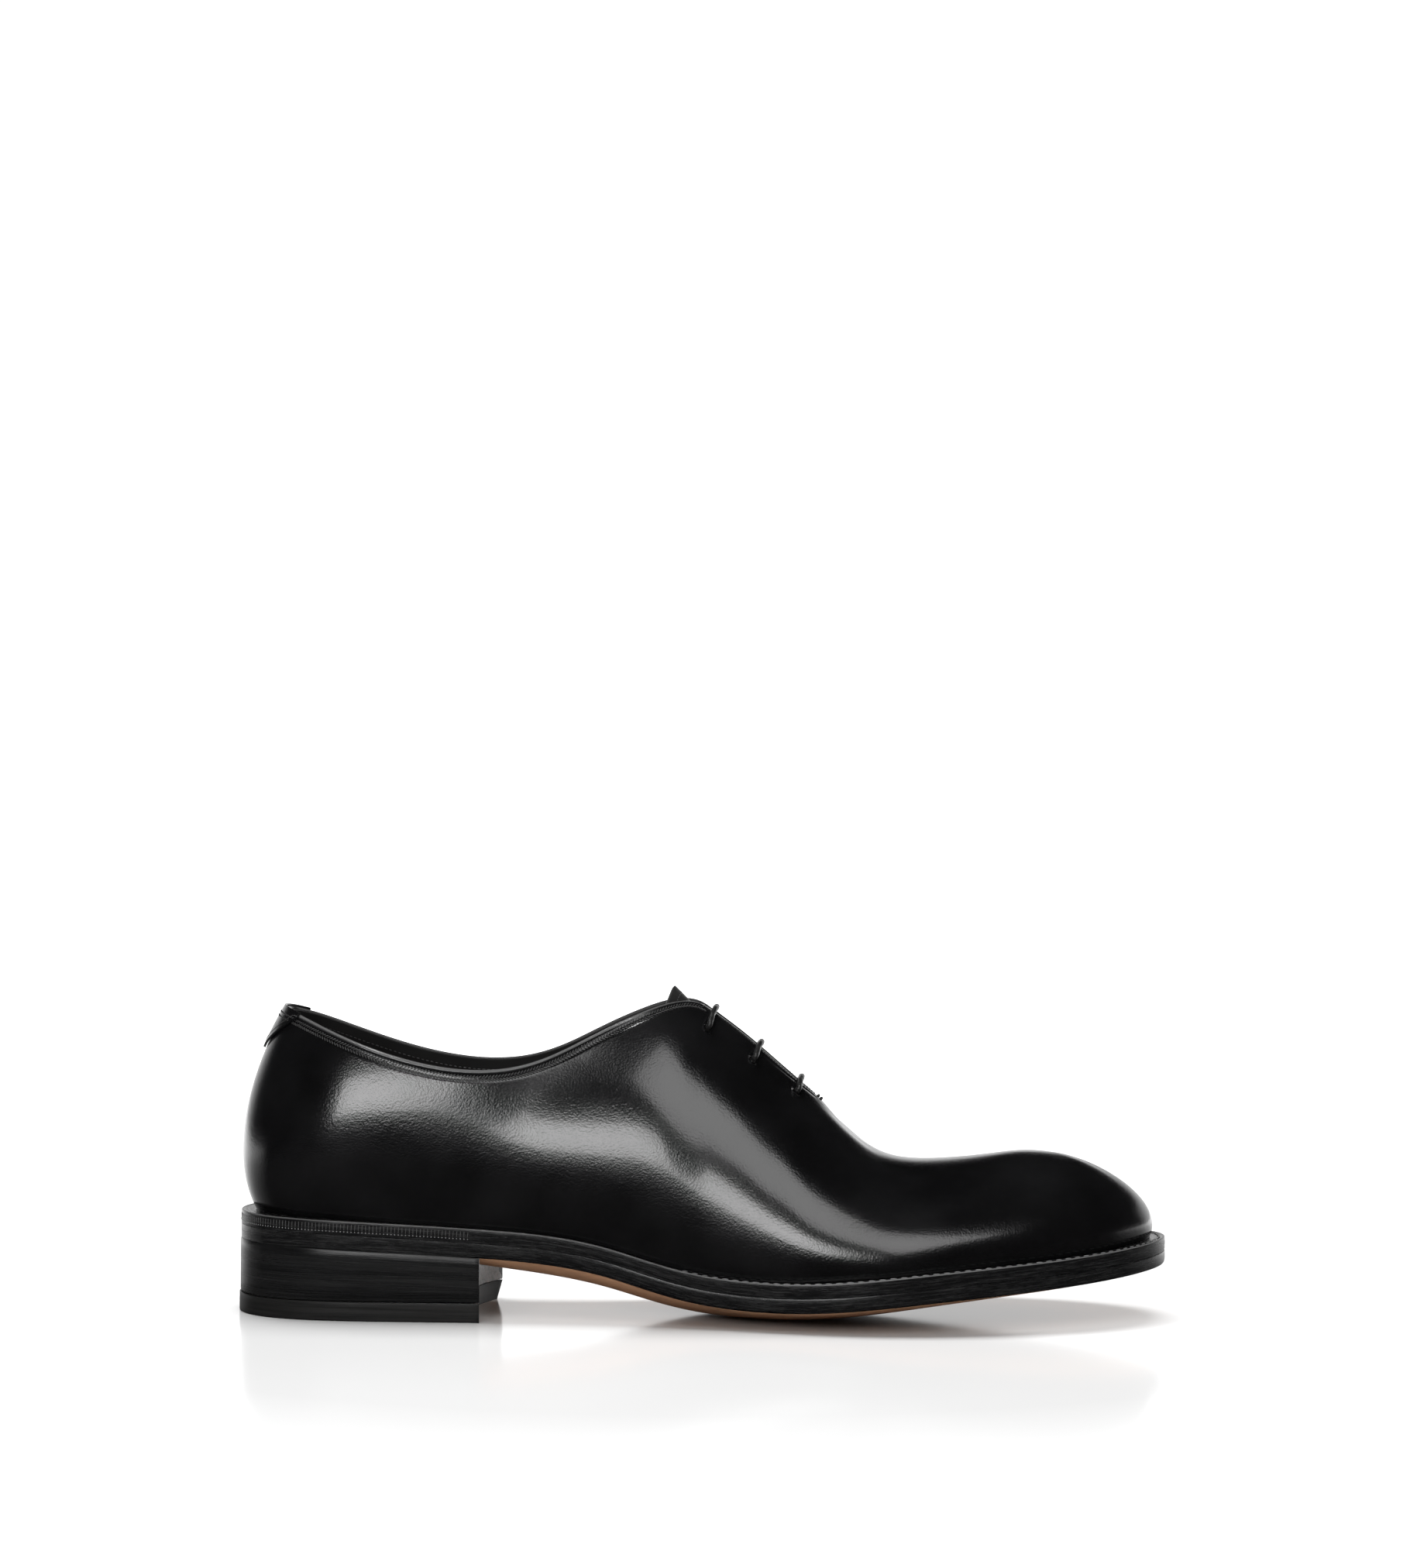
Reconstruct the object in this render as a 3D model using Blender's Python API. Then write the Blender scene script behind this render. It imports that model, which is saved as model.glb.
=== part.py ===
"""Whole cut oxford, right shoe: a hollow leather upper on a welted leather sole with a built heel.

Metres, +Z up, +X towards the toe, -Y the outer side of the foot. The origin is on the floor under
the middle of the heel's top piece. Every shape is read from a few tables, whose rows go from the
heel (place 0) round to the toe (place 1), and which hold shares of the sizes named here.
"""

import math

import bmesh
import bpy
import numpy as np
from mathutils import Vector

# Sizes of the sole and heel
SOLE_LENGTH = 0.3043
BALL_WIDTH = 0.1085
HEEL_WIDTH = 0.0662
HEEL_LENGTH = 0.0815
HEEL_LIFT = 0.0177
TOE_SPRING = 0.0112
BOTTOM_CROWN = 0.0070
BALL_PRESS = 0.0004
WELT_THICK = 0.0042
OUTSOLE_THICK = 0.0043
TOP_PIECE_THICK = 0.0062
TOP_PIECE_PROUD = 0.0003
HEEL_FLARE = 0.0002
BREAST_HOLLOW = 0.0065
BREAST_SKEW = 0.0022
CORNER_CUT = 0.0050
RIM_WIDTH = 0.0050

# Sizes of the upper and what is sewn to it or lies in it
INSTEP_HEIGHT = 0.1030
UPPER_WALL = 0.0020
FACING_GAP = 0.0090
TAB_WIDTH = 0.0300
TAB_DROP = 0.0155
TAB_THICK = 0.0008
TAB_RISE = 0.0004
TONGUE_THICK = 0.0016
TONGUE_RISE = 0.0144
INSOLE_THICK = 0.0026
LACE_DIAMETER = 0.0020
EYELET_DIAMETER = 0.0028

# Clearances
SEAT_GAP = 0.0003
LINING_GAP = 0.0005
TONGUE_GAP = 0.0010

# Where the throat starts and ends on the path from heel to toe
THROAT_TOP = 0.509
THROAT_END = 0.588

# How finely the shapes are divided
ROUND_STEPS = (("quarter", 0.0, 0.46, 22), ("throat top", 0.46, 0.525, 7),
               ("facing", 0.525, THROAT_END, 4), ("vamp", THROAT_END, 1.0, 21))
UP_STEPS = 11
ACROSS_STEPS = 9
SOLE_STEPS = 40
HEEL_STEPS = 14
TAB_STEPS = 8
LACE_STEPS = 7

# Sole outline: half widths. Columns: place, share of heel width, outer and inner share of ball width
OUTLINE = (
    (0.00, 0.000, 0.000, 0.000),
    (0.10, 0.312, 0.000, 0.000),
    (0.20, 0.474, 0.000, 0.000),
    (0.30, 0.500, 0.000, -0.004),
    (0.40, 0.250, 0.166, 0.118),
    (0.50, 0.000, 0.392, 0.330),
    (0.60, 0.000, 0.500, 0.440),
    (0.66, 0.000, 0.496, 0.480),
    (0.70, 0.000, 0.464, 0.472),
    (0.80, 0.000, 0.346, 0.396),
    (0.90, 0.000, 0.162, 0.240),
    (1.00, 0.000, -0.037, 0.037),
)

# Top of the sole edge from the side. Columns: share of length, share of heel lift, of toe spring
SIDE = (
    (0.00, 1.000, 0.000),
    (0.10, 0.955, 0.000),
    (0.20, 0.885, 0.000),
    (0.27, 0.820, 0.000),
    (0.34, 0.725, 0.000),
    (0.40, 0.545, 0.000),
    (0.45, 0.305, 0.000),
    (0.50, 0.110, 0.000),
    (0.55, 0.020, 0.000),
    (0.60, 0.000, 0.010),
    (0.66, 0.000, 0.110),
    (0.73, 0.000, 0.310),
    (0.82, 0.000, 0.540),
    (0.91, 0.000, 0.765),
    (1.00, 0.000, 1.000),
)

# Crown of the underside. Columns: share of length, share of bottom crown
CROWN = ((0.00, 0.00), (0.10, 0.22), (0.20, 0.56), (0.28, 0.84), (0.35, 0.99), (0.45, 1.06),
         (0.55, 1.00), (0.66, 1.00), (0.74, 0.90), (0.82, 0.70), (0.91, 0.45), (1.00, 0.00))

# Ledge of the welt outside the upper. Columns: place, share of rim width
RIM = ((0.0, 0.96), (0.1, 0.88), (0.2, 0.70), (0.3, 0.56), (0.4, 0.46), (0.5, 0.60),
       (0.6, 0.90), (0.7, 1.00), (0.8, 1.00), (1.0, 1.00))

# Collar, facing edge and ridge of the vamp. Columns: place, share of sole length from the back,
# share of instep height from the floor
TOP_LINE = (
    (0.000, 0.0477, 0.968),
    (0.100, 0.0780, 0.936),
    (0.200, 0.1380, 0.866),
    (0.300, 0.2240, 0.799),
    (0.360, 0.2830, 0.792),
    (0.420, 0.3490, 0.846),
    (0.460, 0.4080, 0.933),
    (0.473, 0.4310, 0.963),
    (0.487, 0.4570, 0.991),
    (0.499, 0.4790, 1.002),
    (0.509, 0.4965, 0.993),
    (0.516, 0.5085, 0.973),
    (0.525, 0.5240, 0.941),
    (0.540, 0.5485, 0.886),
    (0.562, 0.5845, 0.796),
    (0.578, 0.6110, 0.729),
    (0.588, 0.6260, 0.690),
    (0.602, 0.6460, 0.623),
    (0.620, 0.6680, 0.564),
    (0.640, 0.6920, 0.522),
    (0.665, 0.7180, 0.502),
    (0.700, 0.7500, 0.500),
    (0.760, 0.7990, 0.513),
    (0.820, 0.8390, 0.528),
    (0.880, 0.8690, 0.527),
    (0.940, 0.8900, 0.518),
    (1.000, 0.9030, 0.508),
)

# Half width of the opening. Columns: place, share of heel width, share of facing gap
OPENING = (
    (0.000, 0.000, 0.00),
    (0.100, 0.250, 0.00),
    (0.200, 0.402, 0.00),
    (0.300, 0.446, 0.00),
    (0.360, 0.436, 0.00),
    (0.420, 0.380, 0.00),
    (0.460, 0.305, 0.00),
    (0.473, 0.264, 0.00),
    (0.487, 0.200, 0.00),
    (0.499, 0.090, 0.32),
    (0.509, 0.025, 0.45),
    (0.516, 0.005, 0.48),
    (0.525, 0.000, 0.45),
    (0.540, 0.000, 0.41),
    (0.562, 0.000, 0.31),
    (0.578, 0.000, 0.19),
    (0.588, 0.000, 0.00),
)

# Swell of the upper. Columns: place, low handle out (share of ball width) and up (share of the
# section's height), high handle's turn from straight ahead in degrees, out and up in like shares
SWELL = (
    (0.00, 0.085, 0.255, 180.0, 0.128, -0.36),
    (0.10, 0.074, 0.265, 142.0, 0.106, -0.36),
    (0.20, 0.056, 0.290, 108.0, 0.066, -0.37),
    (0.30, 0.044, 0.310, 93.0, 0.040, -0.37),
    (0.36, 0.046, 0.320, 92.0, 0.040, -0.40),
    (0.42, 0.055, 0.340, 94.0, 0.072, -0.36),
    (0.46, 0.060, 0.340, 96.0, 0.116, -0.27),
    (0.487, 0.060, 0.340, 97.0, 0.158, -0.165),
    (0.509, 0.058, 0.340, 97.5, 0.170, -0.060),
    (0.54, 0.052, 0.350, 96.0, 0.172, -0.040),
    (0.588, 0.042, 0.380, 90.0, 0.186, 0.0),
    (0.64, 0.034, 0.450, 90.0, 0.232, 0.0),
    (0.70, 0.030, 0.500, 88.0, 0.245, 0.0),
    (0.80, 0.030, 0.510, 68.0, 0.212, 0.0),
    (0.90, 0.038, 0.470, 35.0, 0.152, 0.0),
    (1.00, 0.048, 0.400, 0.0, 0.112, 0.0),
)

# Lace bars. Columns: name, place of the eyelets, place where the bar crosses the facing edge
LACE_BARS = (("top", 0.5157, 0.5176), ("middle", 0.5450, 0.5472), ("bottom", 0.5722, 0.5735))
EYELET_LEVEL = 0.835

# How far up the path the tongue's top edge leaves the collar, how far down the section its sides
# reach, and where the shoulder of its top arch lies between the middle and the collar
TONGUE_END = 0.484
TONGUE_LEVEL = 0.70
TONGUE_INNER_LEVEL = 0.97
TONGUE_SHOULDER = 0.60

OUTER, INNER = -1.0, 1.0


class Smooth:
    """A smooth curve through one column of a table, level at both ends if level is set."""

    def __init__(self, rows, column, level=True):
        self.at = np.array([row[0] for row in rows])
        self.value = np.array([row[column] for row in rows])
        step = np.diff(self.at)
        rise = np.diff(self.value) / step
        count = len(rows)
        matrix = np.zeros((count, count))
        right = np.zeros(count)
        for i in range(1, count - 1):
            matrix[i, i - 1] = step[i]
            matrix[i, i] = 2.0 * (step[i - 1] + step[i])
            matrix[i, i + 1] = step[i - 1]
            right[i] = 3.0 * (rise[i - 1] * step[i] + rise[i] * step[i - 1])
        matrix[0, 0] = matrix[-1, -1] = 1.0
        if not level:
            matrix[0, 1] = matrix[-1, -2] = 0.5
            right[0] = 1.5 * rise[0]
            right[-1] = 1.5 * rise[-1]
        self.slope = np.linalg.solve(matrix, right)

    def __call__(self, place):
        i = int(np.clip(np.searchsorted(self.at, place) - 1, 0, len(self.at) - 2))
        step = self.at[i + 1] - self.at[i]
        a = (place - self.at[i]) / step
        return float((1 + 2 * a) * (1 - a) ** 2 * self.value[i] + a * (1 - a) ** 2 * step * self.slope[i]
                     + a * a * (3 - 2 * a) * self.value[i + 1] - a * a * (1 - a) * step * self.slope[i + 1])


heel_share = Smooth(OUTLINE, 1, level=False)
ball_share = {OUTER: Smooth(OUTLINE, 2, level=False), INNER: Smooth(OUTLINE, 3, level=False)}
lift_share = Smooth(SIDE, 1, level=False)
spring_share = Smooth(SIDE, 2, level=False)
crown_share = Smooth(CROWN, 1, level=False)
rim_share = Smooth(RIM, 1)
line_along = Smooth(TOP_LINE, 1)
line_height = Smooth(TOP_LINE, 2)
opening_heel = Smooth(OPENING, 1, level=False)
opening_facing = Smooth(OPENING, 2)
swell = [Smooth(SWELL, column, level=column != 3) for column in range(1, 6)]


def along_to_x(share):
    """Place a share of the sole's length, counted from the back of the heel, on the X axis."""
    return share * SOLE_LENGTH - HEEL_LENGTH / 2


def x_to_along(x):
    return (x + HEEL_LENGTH / 2) / SOLE_LENGTH


def outline(side, place):
    """A point of the sole's outline in plan."""
    share = (1.0 - math.cos(math.pi * place)) / 2
    half = heel_share(place) * HEEL_WIDTH + ball_share[side](place) * BALL_WIDTH
    return Vector((along_to_x(share), side * half))


def outward(side, place):
    """The direction straight out of the outline in plan."""
    if place in (0.0, 1.0):
        return Vector((2.0 * place - 1.0, 0.0))
    step = 1e-4
    low = outline(side, max(place - step, 0.0))
    high = outline(side, min(place + step, 1.0))
    run = (high - low).normalized()
    return Vector((-run.y, run.x)) * side


def inside_outline(side, place, inset):
    return outline(side, place) - outward(side, place) * inset


def sole_top(x):
    """Height of the welt's top face over the floor."""
    share = x_to_along(x)
    base = BOTTOM_CROWN - BALL_PRESS + OUTSOLE_THICK + SEAT_GAP + WELT_THICK
    return base + lift_share(share) * HEEL_LIFT + spring_share(share) * TOE_SPRING


def crown(x, across):
    """How far the underside hangs below its own edge; across is 0 on the middle line, 1 at the edge."""
    flat = 0.15
    rise = max(0.0, abs(across) - flat) / (1.0 - flat)
    return crown_share(x_to_along(x)) * BOTTOM_CROWN * (1.0 - rise ** 1.5)


def welt_bottom(x, across):
    floor = OUTSOLE_THICK + SEAT_GAP
    return max(sole_top(x) - WELT_THICK - crown(x, across), floor)


def outsole_top(x, across):
    return welt_bottom(x, across) - SEAT_GAP


def outsole_bottom(x, across):
    return outsole_top(x, across) - OUTSOLE_THICK


def feather(side, place):
    """The upper's bottom edge, on the welt."""
    flat = inside_outline(side, place, rim_share(place) * RIM_WIDTH)
    return Vector((flat.x, flat.y, sole_top(flat.x) + SEAT_GAP))


def opening_half(place):
    """Half the gap between the two top edges: the collar, then the throat, then nothing."""
    if place >= THROAT_END:
        return 0.0
    return max(0.0, opening_heel(place) * HEEL_WIDTH + opening_facing(place) * FACING_GAP)


def top_line(side, place):
    """The upper's top edge: the collar, the facing edge and then the ridge of the vamp."""
    return Vector((along_to_x(line_along(place)), side * opening_half(place),
                   line_height(place) * INSTEP_HEIGHT))


def ridge_slope(place):
    step = 0.004
    ahead = min(place, 1.0 - step)
    near = top_line(OUTER, ahead - step)
    far = top_line(OUTER, ahead + step / 2)
    return (far.z - near.z) / (far.x - near.x)


def section(side, place):
    """The four handles of the curve that runs up the upper from the feather to its top edge."""
    low = feather(side, place)
    top = top_line(side, place)
    height = top.z - low.z
    low_out, low_up, turn, high_out, high_up = (column(place) for column in swell)
    out = outward(side, place) * low_out * BALL_WIDTH
    ahead = math.cos(math.radians(turn)) * high_out * BALL_WIDTH
    aside = math.sin(math.radians(turn)) * high_out * BALL_WIDTH * side
    lift = high_up * height
    if place >= THROAT_END:
        lift = ridge_slope(place) * ahead
    low_handle = low + Vector((out.x, out.y, low_up * height))
    high_handle = top + Vector((ahead, aside, lift))
    return low, low_handle, high_handle, top


def upper_point(side, place, level):
    """A point of the upper's outer face: level 0 on the feather, 1 on the top edge."""
    a, b, c, d = section(side, place)
    rest = 1.0 - level
    return a * rest ** 3 + b * 3 * rest * rest * level + c * 3 * rest * level * level + d * level ** 3


def upper_normal(side, place, level):
    """The direction straight out of the upper's outer face."""
    step = 2e-3
    low, high = max(place - step, 0.0), min(place + step, 1.0)
    if low < THROAT_END <= high and level > 0.9:
        low, high = (low, place) if place < THROAT_END else (place, high)
    along = upper_point(side, high, level) - upper_point(side, low, level)
    up = upper_point(side, place, min(level + step, 1.0)) - upper_point(side, place, max(level - step, 0.0))
    normal = along.cross(up).normalized() * -side
    return normal


def off_upper(side, place, level, distance):
    return upper_point(side, place, level) + upper_normal(side, place, level) * distance


def round_places():
    """The places of the upper's sections from heel to toe, closest at the corner of the throat."""
    places = [0.0]
    for _name, start, end, steps in ROUND_STEPS:
        places += [start + (end - start) * (i + 1) / steps for i in range(steps)]
    return places


def finish(name, colour, roughness):
    material = bpy.data.materials.new(name)
    material.use_nodes = True
    shader = material.node_tree.nodes["Principled BSDF"]
    shader.inputs["Base Color"].default_value = (*colour, 1.0)
    shader.inputs["Roughness"].default_value = roughness
    shader.inputs["Metallic"].default_value = 0.0
    return material


def add_object(name, mesh_edit, material):
    """Turn a bmesh into a named object, shaded smooth except at its sharp edges."""
    bmesh.ops.remove_doubles(mesh_edit, verts=mesh_edit.verts, dist=1e-6)
    mesh = bpy.data.meshes.new(name)
    mesh_edit.to_mesh(mesh)
    mesh_edit.free()
    mesh.materials.append(material)
    mesh.shade_smooth()
    mesh.set_sharp_from_angle(angle=math.radians(35))
    item = bpy.data.objects.new(name, mesh)
    bpy.context.scene.collection.objects.link(item)
    return item


def skin(mesh_edit, rows):
    """Join rows of points, each as long as the next, with four-sided faces."""
    points = [[mesh_edit.verts.new(point) for point in row] for row in rows]
    for near, far in zip(points, points[1:]):
        for i in range(len(near) - 1):
            mesh_edit.faces.new((near[i], near[i + 1], far[i + 1], far[i]))
    return points


def clean_skin(mesh_edit):
    """Merge the points that meet, drop faces that fell flat and turn all faces outwards."""
    bmesh.ops.remove_doubles(mesh_edit, verts=mesh_edit.verts, dist=1e-6)
    bmesh.ops.dissolve_degenerate(mesh_edit, edges=mesh_edit.edges, dist=1e-7)
    bmesh.ops.recalc_face_normals(mesh_edit, faces=mesh_edit.faces)


def thicken(item, thickness):
    """Give a sheet its wall, inwards from the face that it was built as."""
    wall = item.modifiers.new("wall", "SOLIDIFY")
    wall.thickness = thickness
    wall.offset = -1.0
    wall.use_even_offset = True
    wall.use_quality_normals = True


def bar_ends(side, hole, cross):
    """Points of a lace bar from over its eyelet to over the facing edge."""
    lift = LACE_DIAMETER / 2 + SEAT_GAP
    points = []
    for i in range(LACE_STEPS):
        share = i / (LACE_STEPS - 1)
        place = hole + (cross - hole) * share
        level = EYELET_LEVEL + (0.985 - EYELET_LEVEL) * share
        points.append(off_upper(side, place, level, lift))
    return points


def upper(material):
    """The whole cut: one sheet from the back seam round both sides, joined along the vamp's ridge."""
    mesh_edit = bmesh.new()
    levels = [i / UP_STEPS for i in range(UP_STEPS + 1)]
    for side in (OUTER, INNER):
        rows = [[upper_point(side, place, level) for level in levels] for place in round_places()]
        if side == INNER:
            rows.reverse()
        skin(mesh_edit, rows)
    clean_skin(mesh_edit)
    item = add_object("upper", mesh_edit, material)
    thicken(item, UPPER_WALL)
    return item


def punch_eyelets(item):
    """Cut three pairs of round eyelets through the facings."""
    for name, hole, _cross in LACE_BARS:
        for side in (OUTER, INNER):
            mesh_edit = bmesh.new()
            bmesh.ops.create_cone(mesh_edit, cap_ends=True, segments=10, radius1=EYELET_DIAMETER / 2,
                                  radius2=EYELET_DIAMETER / 2, depth=4 * UPPER_WALL)
            mesh = bpy.data.meshes.new(f"punch_{name}")
            mesh_edit.to_mesh(mesh)
            mesh_edit.free()
            punch = bpy.data.objects.new(f"punch_{name}_{'outer' if side == OUTER else 'inner'}", mesh)
            bpy.context.scene.collection.objects.link(punch)
            normal = upper_normal(side, hole, EYELET_LEVEL)
            punch.location = upper_point(side, hole, EYELET_LEVEL) - normal * UPPER_WALL / 2
            punch.rotation_euler = normal.to_track_quat("Z", "Y").to_euler()
            punch.hide_render = True
            punch.display_type = "WIRE"
            cut = item.modifiers.new(punch.name, "BOOLEAN")
            cut.operation = "DIFFERENCE"
            cut.object = punch


def heel_tab(material):
    """The pointed cover over the top of the back seam, laid on the upper's outer face."""
    collar = (upper_point(INNER, 0.1, 1.0) - upper_point(INNER, 0.0, 1.0)).length
    widest = 0.1 * TAB_WIDTH / 2 / collar
    back = (upper_point(OUTER, 0.0, 1.0) - upper_point(OUTER, 0.0, 0.75)).length
    lowest = 1.0 - 0.25 * TAB_DROP / back
    mesh_edit = bmesh.new()
    rows = []
    for i in range(-TAB_STEPS, TAB_STEPS + 1):
        across = i / TAB_STEPS
        side = OUTER if across < 0 else INNER
        place = abs(across) * widest
        foot = lowest + (1.0 - lowest) * (0.9 * abs(across) ** 1.15)
        row = []
        for j in range(5):
            level = foot + (1.0 - foot) * j / 4
            row.append(off_upper(side, place, level, SEAT_GAP + TAB_THICK))
        rise = (row[-1] - row[-2]).normalized() * TAB_RISE
        row.append(row[-1] + rise)
        rows.append(row)
    skin(mesh_edit, rows)
    item = add_object("heel_tab", mesh_edit, material)
    for polygon in item.data.polygons:
        if polygon.center.x < 0 and polygon.normal.x > 0:
            item.data.flip_normals()
            break
    thicken(item, TAB_THICK)
    return item


def tongue(material):
    """The tongue: it follows the inside of the facings and stands above the top of the throat."""
    inset = UPPER_WALL + TONGUE_GAP
    places = [place for place in round_places() if TONGUE_END < place < THROAT_END + 0.03]
    levels = [i / UP_STEPS for i in range(UP_STEPS) if i / UP_STEPS > TONGUE_LEVEL] + [TONGUE_INNER_LEVEL]
    run = Vector((-1.0, 0.0, 1.0)).normalized()
    rows = []
    for place in reversed(places):
        outer = [off_upper(OUTER, place, level, -inset) for level in levels]
        inner = [off_upper(INNER, place, level, -inset) for level in levels]
        middle = (outer[-1] + inner[-1]) / 2
        if place > THROAT_TOP:
            crest, crest_place = middle, place
        else:
            middle = crest + run * TONGUE_RISE * (crest_place - place) / (crest_place - places[0])
        for half in (outer, inner):
            edge = half[-1]
            shoulder = Vector((middle.x, edge.y * TONGUE_SHOULDER, middle.z))
            half += [edge.lerp(shoulder, a).lerp(shoulder.lerp(middle, a), a) for a in (1 / 3, 2 / 3)]
        rows.append(outer + [middle] + inner[::-1])
    mesh_edit = bmesh.new()
    skin(mesh_edit, rows)
    bmesh.ops.remove_doubles(mesh_edit, verts=mesh_edit.verts, dist=1e-5)
    item = add_object("tongue", mesh_edit, material)
    if item.data.polygons[len(item.data.polygons) // 2].normal.z < 0:
        item.data.flip_normals()
    thicken(item, TONGUE_THICK)
    return item


def plate(name, rims, places, top, bottom, top_steps, bottom_steps, material, breast=False):
    """A layer of the sole: a top and a bottom skin over their rims, and the edge between them."""
    mesh_edit = bmesh.new()
    last = places[-1]
    top_rim, bottom_rim = rims

    def grid(rim_point, height, steps):
        rows = []
        for place in places:
            outer, inner = rim_point(OUTER, place), rim_point(INNER, place)
            row = []
            for i in range(steps + 1):
                across = 2.0 * i / steps - 1.0
                flat = outer.lerp(inner, i / steps)
                if breast:
                    hollow = BREAST_HOLLOW * (1.0 - across * across) - BREAST_SKEW * (1.0 + across) / 2
                    flat.x -= hollow * (place / last) ** 4
                row.append(Vector((flat.x, flat.y, height(flat.x, across))))
            rows.append(row)
        return rows

    upper_rows = grid(top_rim, top, top_steps)
    lower_rows = grid(bottom_rim, bottom, bottom_steps)
    skin(mesh_edit, upper_rows)
    skin(mesh_edit, lower_rows)
    skin(mesh_edit, [[row[0] for row in upper_rows], [row[0] for row in lower_rows]])
    skin(mesh_edit, [[row[-1] for row in upper_rows], [row[-1] for row in lower_rows]])
    if last < 1.0:
        skin(mesh_edit, [upper_rows[-1], lower_rows[-1]])
    clean_skin(mesh_edit)
    return add_object(name, mesh_edit, material)


def even_places(last, steps):
    return [last * i / steps for i in range(steps + 1)]


def place_of_breast():
    """The place on the outline where the heel's straight front starts."""
    return math.acos(1.0 - 2.0 * HEEL_LENGTH / SOLE_LENGTH) / math.pi


def sole_layers(welt_finish, sole_finish, insole_finish):
    """Insole, welt and outsole, from the inside out."""
    places = even_places(1.0, SOLE_STEPS)

    def insole_rim(side, place):
        inset = rim_share(place) * RIM_WIDTH + UPPER_WALL + LINING_GAP
        return inside_outline(side, place, inset)

    whole = (outline, outline)
    plate("insole", (insole_rim, insole_rim), places, lambda x, across: sole_top(x) + SEAT_GAP + INSOLE_THICK,
          lambda x, across: sole_top(x) + SEAT_GAP, 1, 1, insole_finish)
    plate("welt", whole, places, lambda x, across: sole_top(x), welt_bottom, 1, ACROSS_STEPS, welt_finish)
    plate("outsole", whole, places, outsole_top, outsole_bottom, ACROSS_STEPS, ACROSS_STEPS, sole_finish)


def heel(stack_finish, rubber_finish):
    """The built lifts under the outsole, and the top piece that stands on the floor."""
    breast = place_of_breast()
    places = even_places(breast, HEEL_STEPS)

    def lift_rim(side, place):
        return inside_outline(side, place, -HEEL_FLARE)

    def top_piece_rim(side, place):
        return inside_outline(side, place, -HEEL_FLARE - TOP_PIECE_PROUD)

    def floor_rim(side, place):
        flat = top_piece_rim(side, place)
        if side == INNER:
            cut = CORNER_CUT * max(0.0, place / breast - 0.86) / 0.14
            flat -= Vector((0.4 * cut, cut))
        return flat

    plate("heel_stack", (lift_rim, lift_rim), places, lambda x, across: outsole_bottom(x, across) - SEAT_GAP,
          lambda x, across: TOP_PIECE_THICK + SEAT_GAP, ACROSS_STEPS, ACROSS_STEPS, stack_finish, True)
    plate("heel_top_piece", (top_piece_rim, floor_rim), places, lambda x, across: TOP_PIECE_THICK,
          lambda x, across: 0.0, ACROSS_STEPS, ACROSS_STEPS, rubber_finish, True)


def lace_bars(material):
    """Three straight bars of round cord, each from over one eyelet to over the one across."""
    for name, hole, cross in LACE_BARS:
        points = bar_ends(OUTER, hole, cross)
        points += reversed(bar_ends(INNER, hole, cross))
        curve = bpy.data.curves.new(f"lace_bar_{name}", "CURVE")
        curve.dimensions = "3D"
        curve.bevel_depth = LACE_DIAMETER / 2
        curve.bevel_resolution = 2
        curve.use_fill_caps = True
        spline = curve.splines.new("POLY")
        spline.points.add(len(points) - 1)
        for spot, point in zip(spline.points, points):
            spot.co = (*point, 1.0)
        item = bpy.data.objects.new(f"lace_bar_{name}", curve)
        item.data.materials.append(material)
        bpy.context.scene.collection.objects.link(item)


def main():
    for item in list(bpy.data.objects):
        bpy.data.objects.remove(item, do_unlink=True)
    calf = finish("black_calf", (0.012, 0.012, 0.013), 0.28)
    lining = finish("black_lining", (0.020, 0.019, 0.018), 0.60)
    sock = finish("black_sock", (0.030, 0.028, 0.026), 0.55)
    edge = finish("black_edge", (0.014, 0.014, 0.015), 0.42)
    sole = finish("brown_sole_leather", (0.30, 0.16, 0.09), 0.55)
    stack = finish("black_heel_lifts", (0.014, 0.014, 0.015), 0.40)
    rubber = finish("black_top_piece", (0.016, 0.015, 0.015), 0.60)
    cord = finish("black_waxed_cord", (0.012, 0.012, 0.012), 0.45)
    punch_eyelets(upper(calf))
    heel_tab(calf)
    tongue(lining)
    sole_layers(edge, sole, sock)
    heel(stack, rubber)
    lace_bars(cord)


main()
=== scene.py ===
import math

import bmesh
import bpy
import numpy as np
from bpy.props import FloatProperty, FloatVectorProperty, IntProperty, PointerProperty
from mathutils import Euler, Matrix, Vector


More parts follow.
